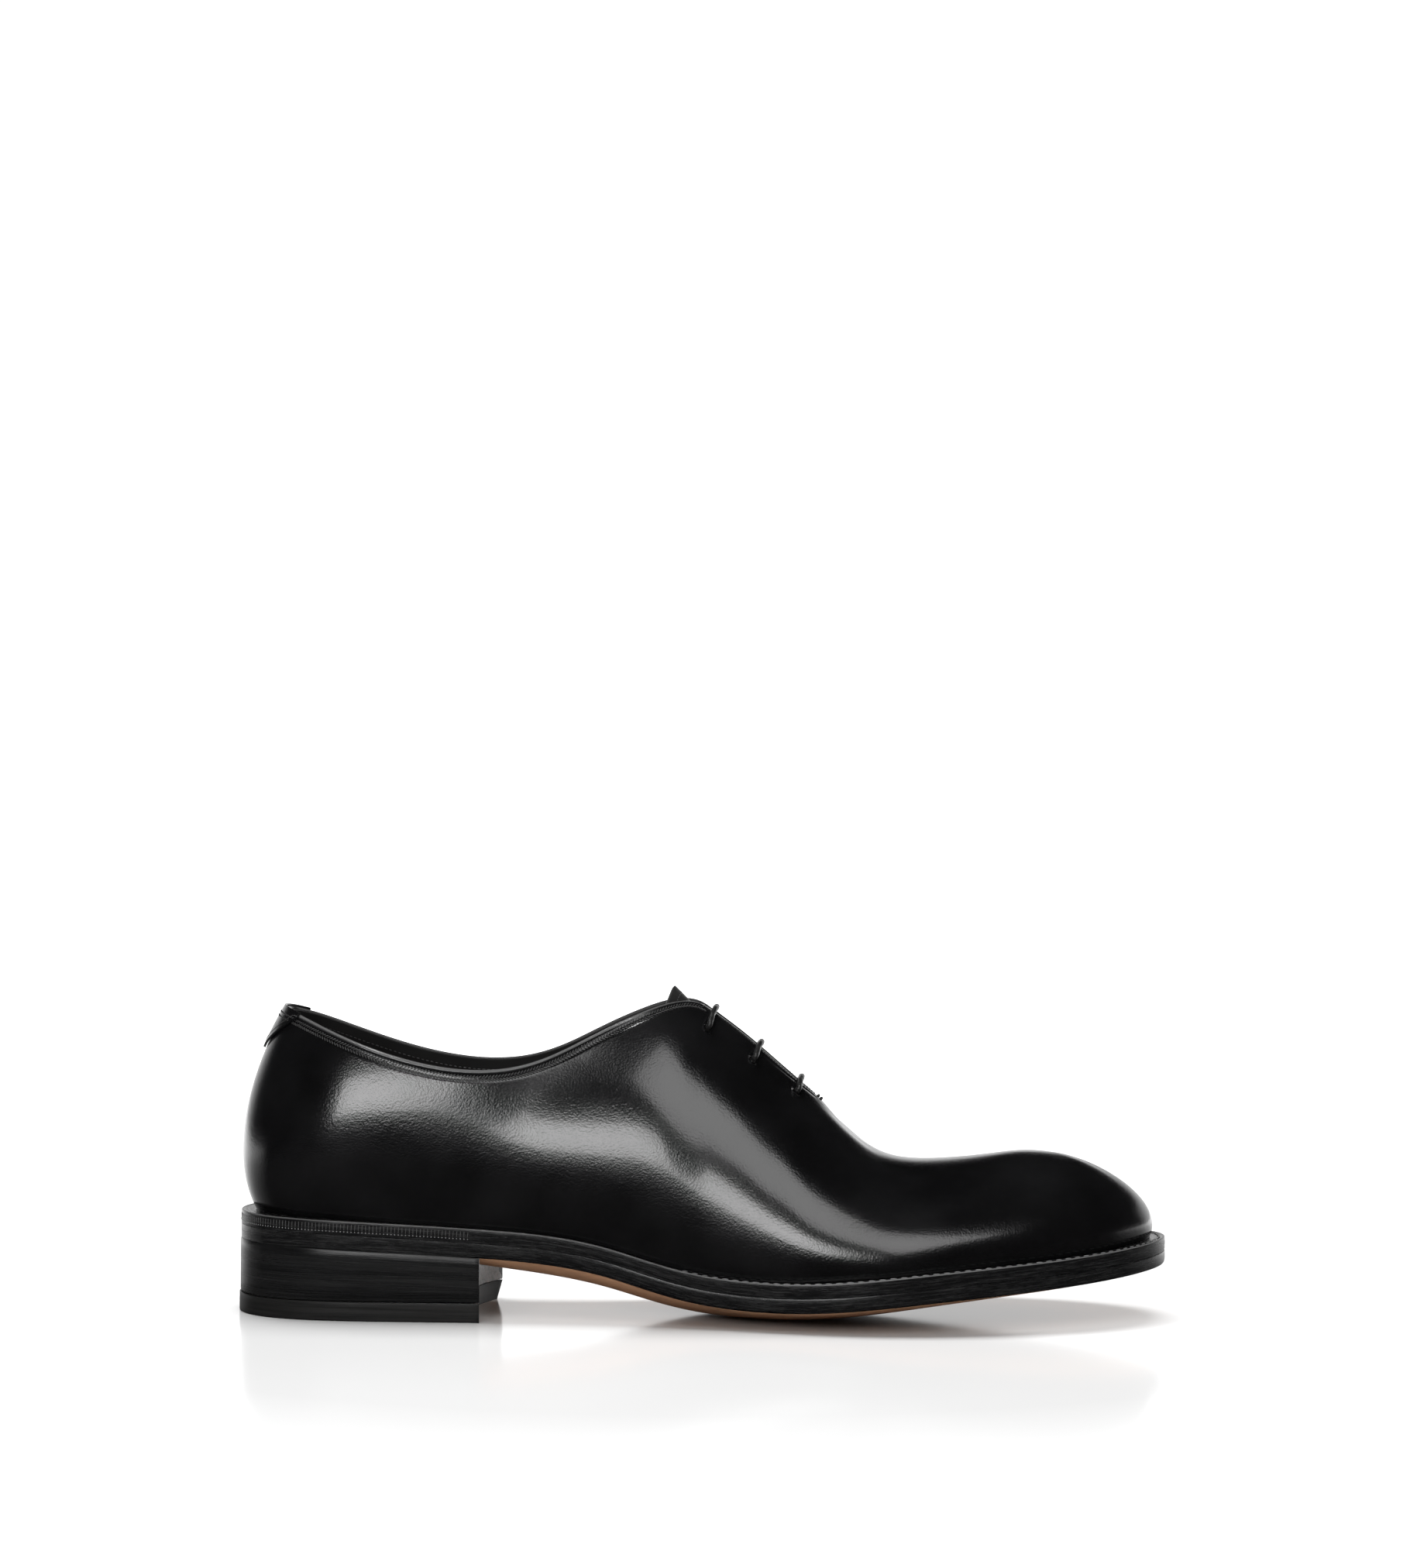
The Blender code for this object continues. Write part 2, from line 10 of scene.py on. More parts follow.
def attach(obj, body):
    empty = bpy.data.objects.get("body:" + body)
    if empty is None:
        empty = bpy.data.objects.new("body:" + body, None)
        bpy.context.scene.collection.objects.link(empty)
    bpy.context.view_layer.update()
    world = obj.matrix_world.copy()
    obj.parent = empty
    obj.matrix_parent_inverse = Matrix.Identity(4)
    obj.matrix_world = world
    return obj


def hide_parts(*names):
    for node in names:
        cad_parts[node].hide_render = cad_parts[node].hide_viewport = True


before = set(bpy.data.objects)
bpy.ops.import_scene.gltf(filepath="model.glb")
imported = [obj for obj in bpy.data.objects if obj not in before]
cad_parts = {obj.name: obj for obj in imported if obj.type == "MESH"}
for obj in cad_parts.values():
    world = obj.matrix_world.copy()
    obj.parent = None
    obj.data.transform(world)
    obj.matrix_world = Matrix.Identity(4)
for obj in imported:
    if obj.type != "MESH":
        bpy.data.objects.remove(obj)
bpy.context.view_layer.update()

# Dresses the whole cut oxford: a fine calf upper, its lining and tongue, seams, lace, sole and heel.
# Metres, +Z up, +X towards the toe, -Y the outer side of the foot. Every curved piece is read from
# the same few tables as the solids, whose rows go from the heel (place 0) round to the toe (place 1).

bl_info = {
    "name": "Whole cut oxford",
    "version": (1, 0, 0),
    "blender": (4, 5, 0),
    "location": "3D View > Sidebar > Oxford",
    "description": "Makes the calf, lining, seams, lace, sole and heel of a whole cut oxford",
    "category": "Add Mesh",
}

# Sizes of the sole and heel
SOLE_LENGTH = 0.3043
BALL_WIDTH = 0.1085
HEEL_WIDTH = 0.0662
HEEL_LENGTH = 0.0815
HEEL_LIFT = 0.0177
TOE_SPRING = 0.0112
BOTTOM_CROWN = 0.0070
BALL_PRESS = 0.0004
WELT_THICK = 0.0042
OUTSOLE_THICK = 0.0043
TOP_PIECE_THICK = 0.0062
TOP_PIECE_PROUD = 0.0003
HEEL_FLARE = 0.0002
BREAST_HOLLOW = 0.0065
BREAST_SKEW = 0.0022
CORNER_CUT = 0.0050
RIM_WIDTH = 0.0050

# Sizes of the upper and what is sewn to it or lies in it
INSTEP_HEIGHT = 0.1030
CALF_THICK = 0.0011
LINING_THICK = 0.0008
UPPER_WALL = 0.0020
FACING_GAP = 0.0090
TAB_WIDTH = 0.0300
TAB_DROP = 0.0155
TAB_THICK = 0.0008
TAB_RISE = 0.0004
TONGUE_THICK = 0.0016
TONGUE_RISE = 0.0144
TONGUE_GAP = 0.0010
LACE_DIAMETER = 0.0020
EYELET_DIAMETER = 0.0028
SEAT_GAP = 0.0003
THROAT_END = 0.588

# Sole outline: half widths. Columns: place, share of heel width, outer and inner share of ball width
OUTLINE = (
    (0.00, 0.000, 0.000, 0.000),
    (0.10, 0.312, 0.000, 0.000),
    (0.20, 0.474, 0.000, 0.000),
    (0.30, 0.500, 0.000, -0.004),
    (0.40, 0.250, 0.166, 0.118),
    (0.50, 0.000, 0.392, 0.330),
    (0.60, 0.000, 0.500, 0.440),
    (0.66, 0.000, 0.496, 0.480),
    (0.70, 0.000, 0.464, 0.472),
    (0.80, 0.000, 0.346, 0.396),
    (0.90, 0.000, 0.162, 0.240),
    (1.00, 0.000, -0.037, 0.037),
)

# Top of the sole edge from the side. Columns: share of length, share of heel lift, of toe spring
SIDE = (
    (0.00, 1.000, 0.000),
    (0.10, 0.955, 0.000),
    (0.20, 0.885, 0.000),
    (0.27, 0.820, 0.000),
    (0.34, 0.725, 0.000),
    (0.40, 0.545, 0.000),
    (0.45, 0.305, 0.000),
    (0.50, 0.110, 0.000),
    (0.55, 0.020, 0.000),
    (0.60, 0.000, 0.010),
    (0.66, 0.000, 0.110),
    (0.73, 0.000, 0.310),
    (0.82, 0.000, 0.540),
    (0.91, 0.000, 0.765),
    (1.00, 0.000, 1.000),
)

# Crown of the underside. Columns: share of length, share of bottom crown
CROWN = ((0.00, 0.00), (0.10, 0.22), (0.20, 0.56), (0.28, 0.84), (0.35, 0.99), (0.45, 1.06),
         (0.55, 1.00), (0.66, 1.00), (0.74, 0.90), (0.82, 0.70), (0.91, 0.45), (1.00, 0.00))

# Ledge of the welt outside the upper. Columns: place, share of rim width
RIM = ((0.0, 0.96), (0.1, 0.88), (0.2, 0.70), (0.3, 0.56), (0.4, 0.46), (0.5, 0.60),
       (0.6, 0.90), (0.7, 1.00), (0.8, 1.00), (1.0, 1.00))

# Collar, facing edge and ridge of the vamp. Columns: place, share of sole length from the back,
# share of instep height from the floor
TOP_LINE = (
    (0.000, 0.0477, 0.968),
    (0.100, 0.0780, 0.936),
    (0.200, 0.1380, 0.866),
    (0.300, 0.2240, 0.799),
    (0.360, 0.2830, 0.792),
    (0.420, 0.3490, 0.846),
    (0.460, 0.4080, 0.933),
    (0.473, 0.4310, 0.963),
    (0.487, 0.4570, 0.991),
    (0.499, 0.4790, 1.002),
    (0.509, 0.4965, 0.993),
    (0.516, 0.5085, 0.973),
    (0.525, 0.5240, 0.941),
    (0.540, 0.5485, 0.886),
    (0.562, 0.5845, 0.796),
    (0.578, 0.6110, 0.729),
    (0.588, 0.6260, 0.690),
    (0.602, 0.6460, 0.623),
    (0.620, 0.6680, 0.564),
    (0.640, 0.6920, 0.522),
    (0.665, 0.7180, 0.502),
    (0.700, 0.7500, 0.500),
    (0.760, 0.7990, 0.513),
    (0.820, 0.8390, 0.528),
    (0.880, 0.8690, 0.527),
    (0.940, 0.8900, 0.518),
    (1.000, 0.9030, 0.508),
)

# Half width of the opening. Columns: place, share of heel width, share of facing gap
OPENING = (
    (0.000, 0.000, 0.00),
    (0.100, 0.250, 0.00),
    (0.200, 0.402, 0.00),
    (0.300, 0.446, 0.00),
    (0.360, 0.436, 0.00),
    (0.420, 0.380, 0.00),
    (0.460, 0.305, 0.00),
    (0.473, 0.264, 0.00),
    (0.487, 0.200, 0.00),
    (0.499, 0.090, 0.32),
    (0.509, 0.025, 0.45),
    (0.516, 0.005, 0.48),
    (0.525, 0.000, 0.45),
    (0.540, 0.000, 0.41),
    (0.562, 0.000, 0.31),
    (0.578, 0.000, 0.19),
    (0.588, 0.000, 0.00),
)

# Swell of the upper. Columns: place, low handle out (share of ball width) and up (share of the
# section's height), high handle's turn from straight ahead in degrees, out and up in like shares
SWELL = (
    (0.00, 0.085, 0.255, 180.0, 0.128, -0.36),
    (0.10, 0.074, 0.265, 142.0, 0.106, -0.36),
    (0.20, 0.056, 0.290, 108.0, 0.066, -0.37),
    (0.30, 0.044, 0.310, 93.0, 0.040, -0.37),
    (0.36, 0.046, 0.320, 92.0, 0.040, -0.40),
    (0.42, 0.055, 0.340, 94.0, 0.072, -0.36),
    (0.46, 0.060, 0.340, 96.0, 0.116, -0.27),
    (0.487, 0.060, 0.340, 97.0, 0.158, -0.165),
    (0.509, 0.058, 0.340, 97.5, 0.170, -0.060),
    (0.54, 0.052, 0.350, 96.0, 0.172, -0.040),
    (0.588, 0.042, 0.380, 90.0, 0.186, 0.0),
    (0.64, 0.034, 0.450, 90.0, 0.232, 0.0),
    (0.70, 0.030, 0.500, 88.0, 0.245, 0.0),
    (0.80, 0.030, 0.510, 68.0, 0.212, 0.0),
    (0.90, 0.038, 0.470, 35.0, 0.152, 0.0),
    (1.00, 0.048, 0.400, 0.0, 0.112, 0.0),
)

# Lace bars. Columns: name, place of the eyelets, place where the bar crosses the facing edge
LACE_BARS = (("top", 0.5157, 0.5176), ("middle", 0.5450, 0.5472), ("bottom", 0.5722, 0.5735))
EYELET_LEVEL = 0.835

TONGUE_CREST = 0.5157
TONGUE_END = 0.4879
TONGUE_INNER_LEVEL = 0.97
TONGUE_SHOULDER = 0.60

# Rows of the fine upper under its top edge, in millimetres, before the rows down the side
EDGE_ROWS = (0.0, 0.2, 0.45, 0.7, 0.95, 1.2, 1.5, 1.8, 2.1, 2.4, 2.7, 3.0, 3.3, 3.6, 3.9, 4.2,
             4.6, 5.1, 5.8, 6.6, 7.6)
SIDE_ROWS = 40
LINING_EDGE_ROWS = (0.3, 0.8, 1.5, 3.0, 4.5, 4.9, 5.3, 6.2, 8.0)
LINING_SIDE_ROWS = 18

# Steps along the shoe. Columns: from place, to place, how many steps
FINE_PATH = ((0.0, 0.46, 104), (0.46, 0.525, 44), (0.525, THROAT_END, 42), (THROAT_END, 1.0, 88))
LINING_PATH = ((0.0, 0.46, 60), (0.46, 0.525, 24), (0.525, THROAT_END, 20), (THROAT_END, 1.0, 40))

# Two rows of the collar's seam. Columns: name, first and last place, distance down from the top edge
COLLAR_ROWS = (("collar_upper", 0.047, 0.511, 0.0023), ("collar_lower", 0.047, 0.513, 0.0035))
FACING_ROW = (0.5145, 0.584, 0.0016)
LINING_ROW = (0.004, 0.50, 0.0038)

# Length, width and height of the stitches
FACING_STITCH = (0.0008, 0.00028, 0.00028)
BACK_STITCH = (0.00045, 0.0011, 0.00034)
TAB_STITCH = (0.0009, 0.00036, 0.0003)
LINING_STITCH = (0.0012, 0.00038, 0.0003)
TONGUE_STITCH = (0.0012, 0.0004, 0.0003)
BAR_TACK_STITCH = (0.0011, 0.0022, 0.0013)
WELT_STITCH = (0.0023, 0.00052, 0.0005)
WHEELED_MARK = (0.00030, 0.0025, 0.00024)
WHEELED_DOT = (0.00036, 0.00036, 0.00030)
STITCH_HEIGHT = 0.00040

# Rolled edge, seam channels and raised line of the facing. Columns: zone, height, distance down
# from the top edge, half width (all mm), how square its sides are
EDGE_RELIEF = (
    ("open edge", -0.16, 0.0, 0.60, 2),
    ("collar", -0.16, 2.9, 1.10, 4),
    ("collar", 0.22, 0.9, 0.55, 2),
    ("facing", -0.10, 1.6, 0.40, 2),
    ("facing", 0.08, 3.0, 0.60, 2),
    ("facing", -0.14, 4.3, 0.90, 2),
)

# Soft creases and hollows of the calf. Columns: name, from x, z to x, z, half width, height (mm)
CREASES = (
    ("hollow under the facing", 116.0, 91.0, 147.0, 64.0, 6.0, -0.34),
    ("crease at the top eyelet", 111.0, 92.0, 108.5, 86.0, 2.0, -0.07),
    ("crease beside it", 117.5, 90.0, 116.0, 83.0, 2.0, -0.05),
    ("fold of the quarter", 66.0, 82.0, 56.0, 74.0, 10.0, -0.22),
)

# How far the glue and ink fill the seam under a layer of the sole's edge
FILLED_SEAM = 0.85 * SEAT_GAP
SOLE_STEPS = 241
HEEL_STEPS = 91

# The camera's aim: the point it turns about, its turn and roll in degrees, its drop per metre ahead
CAMERA_PIVOT = (0.11125, 0.0, 0.0)
CAMERA_TURN = 2.0
CAMERA_ROLL = 0.4
CAMERA_DROP = 39.0 / 5488.0

# Lights. Columns: name, place, aim, size, watts, roll in degrees, seen in reflections
LIGHTS = (
    ("soft box", (-0.255, -1.04, 0.40), (0.02, -0.03, 0.06), (0.54, 0.26), 3.9, 0.0, True),
    ("side box", (0.317, -0.923, 0.92), (0.16, -0.03, 0.06), (0.66, 0.62), 4.3, 40.0, True),
    ("edge light", (-0.01, -0.03, 0.75), (0.02, -0.02, 0.06), (0.26, 0.05), 1.1, 0.0, True),
    ("top light", (0.1, 0.5, 2.2), (0.1, 0.0, 0.0), (1.6, 1.2), 60.0, 0.0, False),
)

OUTER, INNER = -1.0, 1.0


class Smooth:
    """A smooth curve through one column of a table, level at both ends if level is set."""

    def __init__(self, rows, column, level=True):
        self.at = np.array([row[0] for row in rows])
        self.value = np.array([row[column] for row in rows])
        step = np.diff(self.at)
        rise = np.diff(self.value) / step
        count = len(rows)
        matrix = np.zeros((count, count))
        right = np.zeros(count)
        for i in range(1, count - 1):
            matrix[i, i - 1] = step[i]
            matrix[i, i] = 2.0 * (step[i - 1] + step[i])
            matrix[i, i + 1] = step[i - 1]
            right[i] = 3.0 * (rise[i - 1] * step[i] + rise[i] * step[i - 1])
        matrix[0, 0] = matrix[-1, -1] = 1.0
        if not level:
            matrix[0, 1] = matrix[-1, -2] = 0.5
            right[0] = 1.5 * rise[0]
            right[-1] = 1.5 * rise[-1]
        self.slope = np.linalg.solve(matrix, right)

    def __call__(self, place):
        i = np.clip(np.searchsorted(self.at, place) - 1, 0, len(self.at) - 2)
        step = self.at[i + 1] - self.at[i]
        a = (place - self.at[i]) / step
        return ((1 + 2 * a) * (1 - a) ** 2 * self.value[i] + a * (1 - a) ** 2 * step * self.slope[i]
                + a * a * (3 - 2 * a) * self.value[i + 1] - a * a * (1 - a) * step * self.slope[i + 1])


heel_share = Smooth(OUTLINE, 1, level=False)
ball_share = {OUTER: Smooth(OUTLINE, 2, level=False), INNER: Smooth(OUTLINE, 3, level=False)}
lift_share = Smooth(SIDE, 1, level=False)
spring_share = Smooth(SIDE, 2, level=False)
crown_share = Smooth(CROWN, 1, level=False)
rim_share = Smooth(RIM, 1)
line_along = Smooth(TOP_LINE, 1)
line_height = Smooth(TOP_LINE, 2)
opening_heel = Smooth(OPENING, 1, level=False)
opening_facing = Smooth(OPENING, 2)
swell = [Smooth(SWELL, column, level=column != 3) for column in range(1, 6)]


def lengths(rows):
    """Lengths of vectors along the last axis."""
    return np.sqrt((rows ** 2).sum(-1))


def unit(rows):
    """The vectors along the last axis at length one."""
    return rows / np.maximum(lengths(rows), 1e-12)[..., None]


def soft_step(value, start, end):
    """0 before start, 1 after end, and smooth in between."""
    a = np.clip((value - start) / (end - start), 0.0, 1.0)
    return a * a * (3 - 2 * a)


def run_along(points):
    """The distance along a line of points, from its first."""
    return np.concatenate([[0.0], np.cumsum(lengths(np.diff(points, axis=0)))])


def along_to_x(share):
    """X of a share of the sole's length from the back."""
    return share * SOLE_LENGTH - HEEL_LENGTH / 2


def x_to_along(x):
    """Share of the sole's length from the back at x."""
    return (x + HEEL_LENGTH / 2) / SOLE_LENGTH


def outline(side, place):
    """Points of the sole's outline in plan."""
    share = (1.0 - np.cos(np.pi * place)) / 2
    half = heel_share(place) * HEEL_WIDTH + ball_share[side](place) * BALL_WIDTH
    return np.stack([along_to_x(share), side * half], -1)


def outward(side, place):
    """The direction straight out of the outline in plan."""
    step = 1e-4
    run = outline(side, np.clip(place + step, 0, 1)) - outline(side, np.clip(place - step, 0, 1))
    out = unit(np.stack([-run[..., 1], run[..., 0]], -1) * side)
    out[place <= 0.0] = (-1.0, 0.0)
    out[place >= 1.0] = (1.0, 0.0)
    return out


def sole_top(x):
    """Height of the welt's top face over the floor."""
    share = x_to_along(x)
    base = BOTTOM_CROWN - BALL_PRESS + OUTSOLE_THICK + SEAT_GAP + WELT_THICK
    return base + lift_share(share) * HEEL_LIFT + spring_share(share) * TOE_SPRING


def crown(x, across):
    """How far the underside hangs below its own edge; across is 0 on the middle line, 1 at the edge."""
    flat = 0.15
    rise = np.maximum(0.0, np.abs(across) - flat) / (1.0 - flat)
    return crown_share(x_to_along(x)) * BOTTOM_CROWN * (1.0 - rise ** 1.5)


# Heights of the layers' faces at x and across the sole (-1 outer edge, 1 inner edge)


def welt_top(x, across):
    return sole_top(x)


def welt_bottom(x, across):
    return np.maximum(sole_top(x) - WELT_THICK - crown(x, across), OUTSOLE_THICK + SEAT_GAP)


def outsole_top(x, across):
    return welt_bottom(x, across) - SEAT_GAP


def outsole_bottom(x, across):
    return outsole_top(x, across) - OUTSOLE_THICK


def stack_top(x, across):
    return outsole_bottom(x, across) - SEAT_GAP


def stack_bottom(x, across):
    return np.full_like(x, TOP_PIECE_THICK + SEAT_GAP)


def top_piece_top(x, across):
    return np.full_like(x, TOP_PIECE_THICK)


def floor_level(x, across):
    return np.zeros_like(x)


def feather(side, place):
    """The upper's bottom edge, on the welt."""
    flat = outline(side, place) - outward(side, place) * (rim_share(place) * RIM_WIDTH)[:, None]
    return np.column_stack([flat, sole_top(flat[:, 0]) + SEAT_GAP])


def top_line(side, place):
    """The upper's top edge: the collar, the facing edge and then the ridge of the vamp."""
    half = opening_heel(place) * HEEL_WIDTH + opening_facing(place) * FACING_GAP
    half = np.where(place >= THROAT_END, 0.0, np.maximum(half, 0.0))
    return np.stack([along_to_x(line_along(place)), side * half, line_height(place) * INSTEP_HEIGHT], -1)


def ridge_slope(place):
    """How steeply the ridge of the vamp rises towards the toe."""
    step = 0.004
    ahead = np.minimum(place, 1.0 - step)
    run = top_line(OUTER, ahead + step / 2) - top_line(OUTER, ahead - step)
    return run[:, 2] / run[:, 0]


def section(side, place):
    """The four handles of the curves that run up the upper from the feather to its top edge."""
    low = feather(side, place)
    top = top_line(side, place)
    height = top[:, 2] - low[:, 2]
    low_out, low_up, turn, high_out, high_up = (column(place) for column in swell)
    out = outward(side, place) * (low_out * BALL_WIDTH)[:, None]
    ahead = np.cos(np.radians(turn)) * high_out * BALL_WIDTH
    aside = np.sin(np.radians(turn)) * high_out * BALL_WIDTH * side
    lift = np.where(place >= THROAT_END, ridge_slope(place) * ahead, high_up * height)
    low_handle = low + np.column_stack([out, low_up * height])
    high_handle = top + np.column_stack([ahead, aside, lift])
    return np.stack([low, low_handle, high_handle, top], 1)


def bezier(handles, level):
    """Points of the curves with the given handles, for rows of levels."""
    rest = 1.0 - level
    weight = np.stack([rest ** 3, 3 * rest * rest * level, 3 * rest * level * level, level ** 3], -1)
    return np.einsum("nmk,nkc->nmc", weight, handles)


def upper_skin(side, place, level):
    """Points of the upper's outer face and the directions straight out of it, for rows of levels."""
    step = 2e-3
    low, high = np.clip(place - step, 0, 1), np.clip(place + step, 0, 1)
    here = section(side, place)
    # The toe end is a pole, where no direction can be measured, so it is measured a hair below.
    aim = np.where((place >= 1.0)[:, None], np.minimum(level, 0.998), level)
    point = bezier(here, aim)
    before = point - bezier(section(side, low), aim)
    after = bezier(section(side, high), aim) - point
    along = before + after
    corner = ((low < THROAT_END) & (high >= THROAT_END))[:, None] & (level > 0.9)
    one_side = np.where((place < THROAT_END)[:, None, None], before, after)
    along = np.where(corner[..., None], one_side, along)
    up = bezier(here, np.minimum(aim + step, 1.0)) - bezier(here, np.maximum(aim - step, 0.0))
    normal = np.cross(along, up) * -side
    normal[(place <= 0.0) | (place >= 1.0), :, 1] = 0.0
    normal[(place >= THROAT_END)[:, None] & (level >= 1.0), 1] = 0.0
    return bezier(here, level), unit(normal)


def off_upper(side, place, level, distance):
    """Points at a distance from the upper's outer face, each with its own place and level."""
    place, level = np.broadcast_arrays(np.atleast_1d(place), level)
    point, normal = upper_skin(side, place, level[:, None])
    return point[:, 0] + normal[:, 0] * np.broadcast_to(distance, place.shape)[:, None], normal[:, 0]


def levels_down(side, place, down):
    """The levels that lie the given distances down from the top edge, and how long each section is."""
    dense = np.linspace(1.0, 0.0, 161)
    line = bezier(section(side, place), np.tile(dense, (len(place), 1)))
    run = np.cumsum(lengths(np.diff(line, axis=1)), axis=1)
    run = np.column_stack([np.zeros(len(place)), run])
    rows = down(run[:, -1])
    return np.array([np.interp(row, steps, dense) for row, steps in zip(rows, run)]), rows


def rows_down(edge, steps, short=0.0):
    """Distances down from the top edge for every section: close together at the edge, then even."""
    edge = np.array(edge) / 1000
    share = np.arange(1, steps + 1) / steps

    def rows(total):
        rest = edge[-1] + (total[:, None] - short - edge[-1]) * share[None, :]
        return np.column_stack([np.tile(edge, (len(total), 1)), rest])
    return rows


def path_places(parts):
    """Places from 0 to 1 in the parts' steps."""
    places = [np.array([0.0])]
    for start, end, steps in parts:
        places.append(np.linspace(start, end, steps + 1)[1:])
    return np.concatenate(places)


def edge_run(place):
    """Distance along the top edge from the back seam."""
    return run_along(top_line(OUTER, place))


class Shell:
    """Grids of points with their maps and paint, gathered and then made one mesh."""

    def __init__(self):
        self.points, self.faces, self.maps, self.paint = [], [], [], []
        self.count = 0

    def grid(self, points, along, down, flip=False, paint=0.0):
        """Add rows of points, their place on the map along and across, and their paint."""
        rows, columns = points.shape[:2]
        index = self.count + np.arange(rows * columns).reshape(rows, columns)
        corners = [index[:-1, :-1], index[1:, :-1], index[1:, 1:], index[:-1, 1:]]
        if flip:
            corners.reverse()
        self.faces.append(np.stack([corner.ravel() for corner in corners], -1))
        self.points.append(points.reshape(-1, 3))
        spread = np.broadcast_arrays(along, down, paint, np.zeros((rows, columns)))
        self.maps.append(np.stack([spread[0].ravel(), spread[1].ravel()], -1))
        self.paint.append(spread[2].ravel())
        self.count += rows * columns

    def mesh(self, name, material, turn_out=False):
        """One mesh of all grids, with the points on their seams merged."""
        faces = np.concatenate(self.faces)
        made = bpy.data.meshes.new(name)
        made.from_pydata(np.concatenate(self.points).tolist(), [], faces.tolist())
        layer = made.uv_layers.new(name="surface")
        layer.data.foreach_set("uv", np.concatenate(self.maps)[faces.ravel()].astype(np.float32).ravel())
        paint = made.attributes.new("paint", "FLOAT", "POINT")
        paint.data.foreach_set("value", np.concatenate(self.paint).astype(np.float32))
        edit = bmesh.new()
        edit.from_mesh(made)
        bmesh.ops.remove_doubles(edit, verts=edit.verts, dist=2e-6)
        bmesh.ops.dissolve_degenerate(edit, edges=edit.edges, dist=1e-7)
        if turn_out:
            bmesh.ops.recalc_face_normals(edit, faces=edit.faces)
        edit.to_mesh(made)
        edit.free()
        made.materials.append(material)
        made.shade_smooth()
        return made


def new_object(name, data):
    """An object in the scene, at the origin."""
    item = bpy.data.objects.new(name, data)
    bpy.context.scene.collection.objects.link(item)
    return item


def settle(item):
    """Turn the result of an object's modifiers into its plain mesh."""
    graph = bpy.context.evaluated_depsgraph_get()
    made = bpy.data.meshes.new_from_object(item.evaluated_get(graph), preserve_all_data_layers=True,
                                           depsgraph=graph)
    made.name = item.name
    item.modifiers.clear()
    item.data = made
    return item


def dress(item, slot, *nodes):
    """Hide the solids that a finished piece stands for and attach it to the root body; its slot is not used.
    """
    if nodes:
        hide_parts(*nodes)
    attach(item, "root")
    return item


def thicken(item, thickness, bevel=0.0, even=True):
    """Give a sheet its wall, inwards from the face that it was built as, with rounded rims."""
    wall = item.modifiers.new("wall", "SOLIDIFY")
    wall.thickness = thickness
    wall.offset = -1.0
    wall.use_even_offset = even
    wall.use_quality_normals = True
    if bevel:
        round_edges(item, bevel)


def crisp(item, degrees=38.0):
    """Keep the edges of a piece crisp and its faces smooth."""
    item.data.set_sharp_from_angle(angle=math.radians(degrees))
    return item


def round_edges(item, width, segments=3, angle=50.0):
    """Round the edges that bend by more than the angle."""
    bevel = item.modifiers.new("rounded edges", "BEVEL")
    bevel.width = width
    bevel.segments = segments
    bevel.limit_method = "ANGLE"
    bevel.angle_limit = math.radians(angle)
    bevel.harden_normals = False


# Nodes and finishes


def pick(sockets, name):
    """A socket by its identifier, or else by its name or number."""
    found = [socket for socket in sockets if socket.identifier == name]
    return found[0] if found else sockets[name]


class Nodes:
    """Adds nodes to a tree. Each input is given as a value or a link."""

    def __init__(self, tree):
        self.tree = tree

    def fill(self, node, inputs):
        for name, value in inputs.items():
            socket = pick(node.inputs, name)
            if isinstance(value, bpy.types.NodeSocket):
                self.tree.links.new(value, socket)
            else:
                socket.default_value = value

    def add(self, kind, inputs=None, **settings):
        node = self.tree.nodes.new(kind)
        for name, value in settings.items():
            setattr(node, name, value)
        self.fill(node, inputs or {})
        return node

    def sum(self, first, second, operation="ADD"):
        """The sum of two values, or the result of another operation on them."""
        return self.add("ShaderNodeMath", {0: first, 1: second}, operation=operation).outputs[0]

    def times(self, first, second):
        return self.sum(first, second, "MULTIPLY")

    def between(self, value, low, high, start=0.0, end=1.0, kind="LINEAR"):
        """The value, taken from the range start to end to the range low to high."""
        inputs = {"Value": value, "From Min": start, "From Max": end, "To Min": low, "To Max": high}
        return self.add("ShaderNodeMapRange", inputs, interpolation_type=kind).outputs["Result"]

    def blend(self, share, first, second):
        """A number between two others."""
        inputs = {"Factor_Float": share, "A_Float": first, "B_Float": second}
        return pick(self.add("ShaderNodeMix", inputs).outputs, "Result_Float")

    def mix(self, share, first, second):
        """A colour between two others."""
        inputs = {"Factor_Float": share, "A_Color": first, "B_Color": second}
        return pick(self.add("ShaderNodeMix", inputs, data_type="RGBA").outputs, "Result_Color")


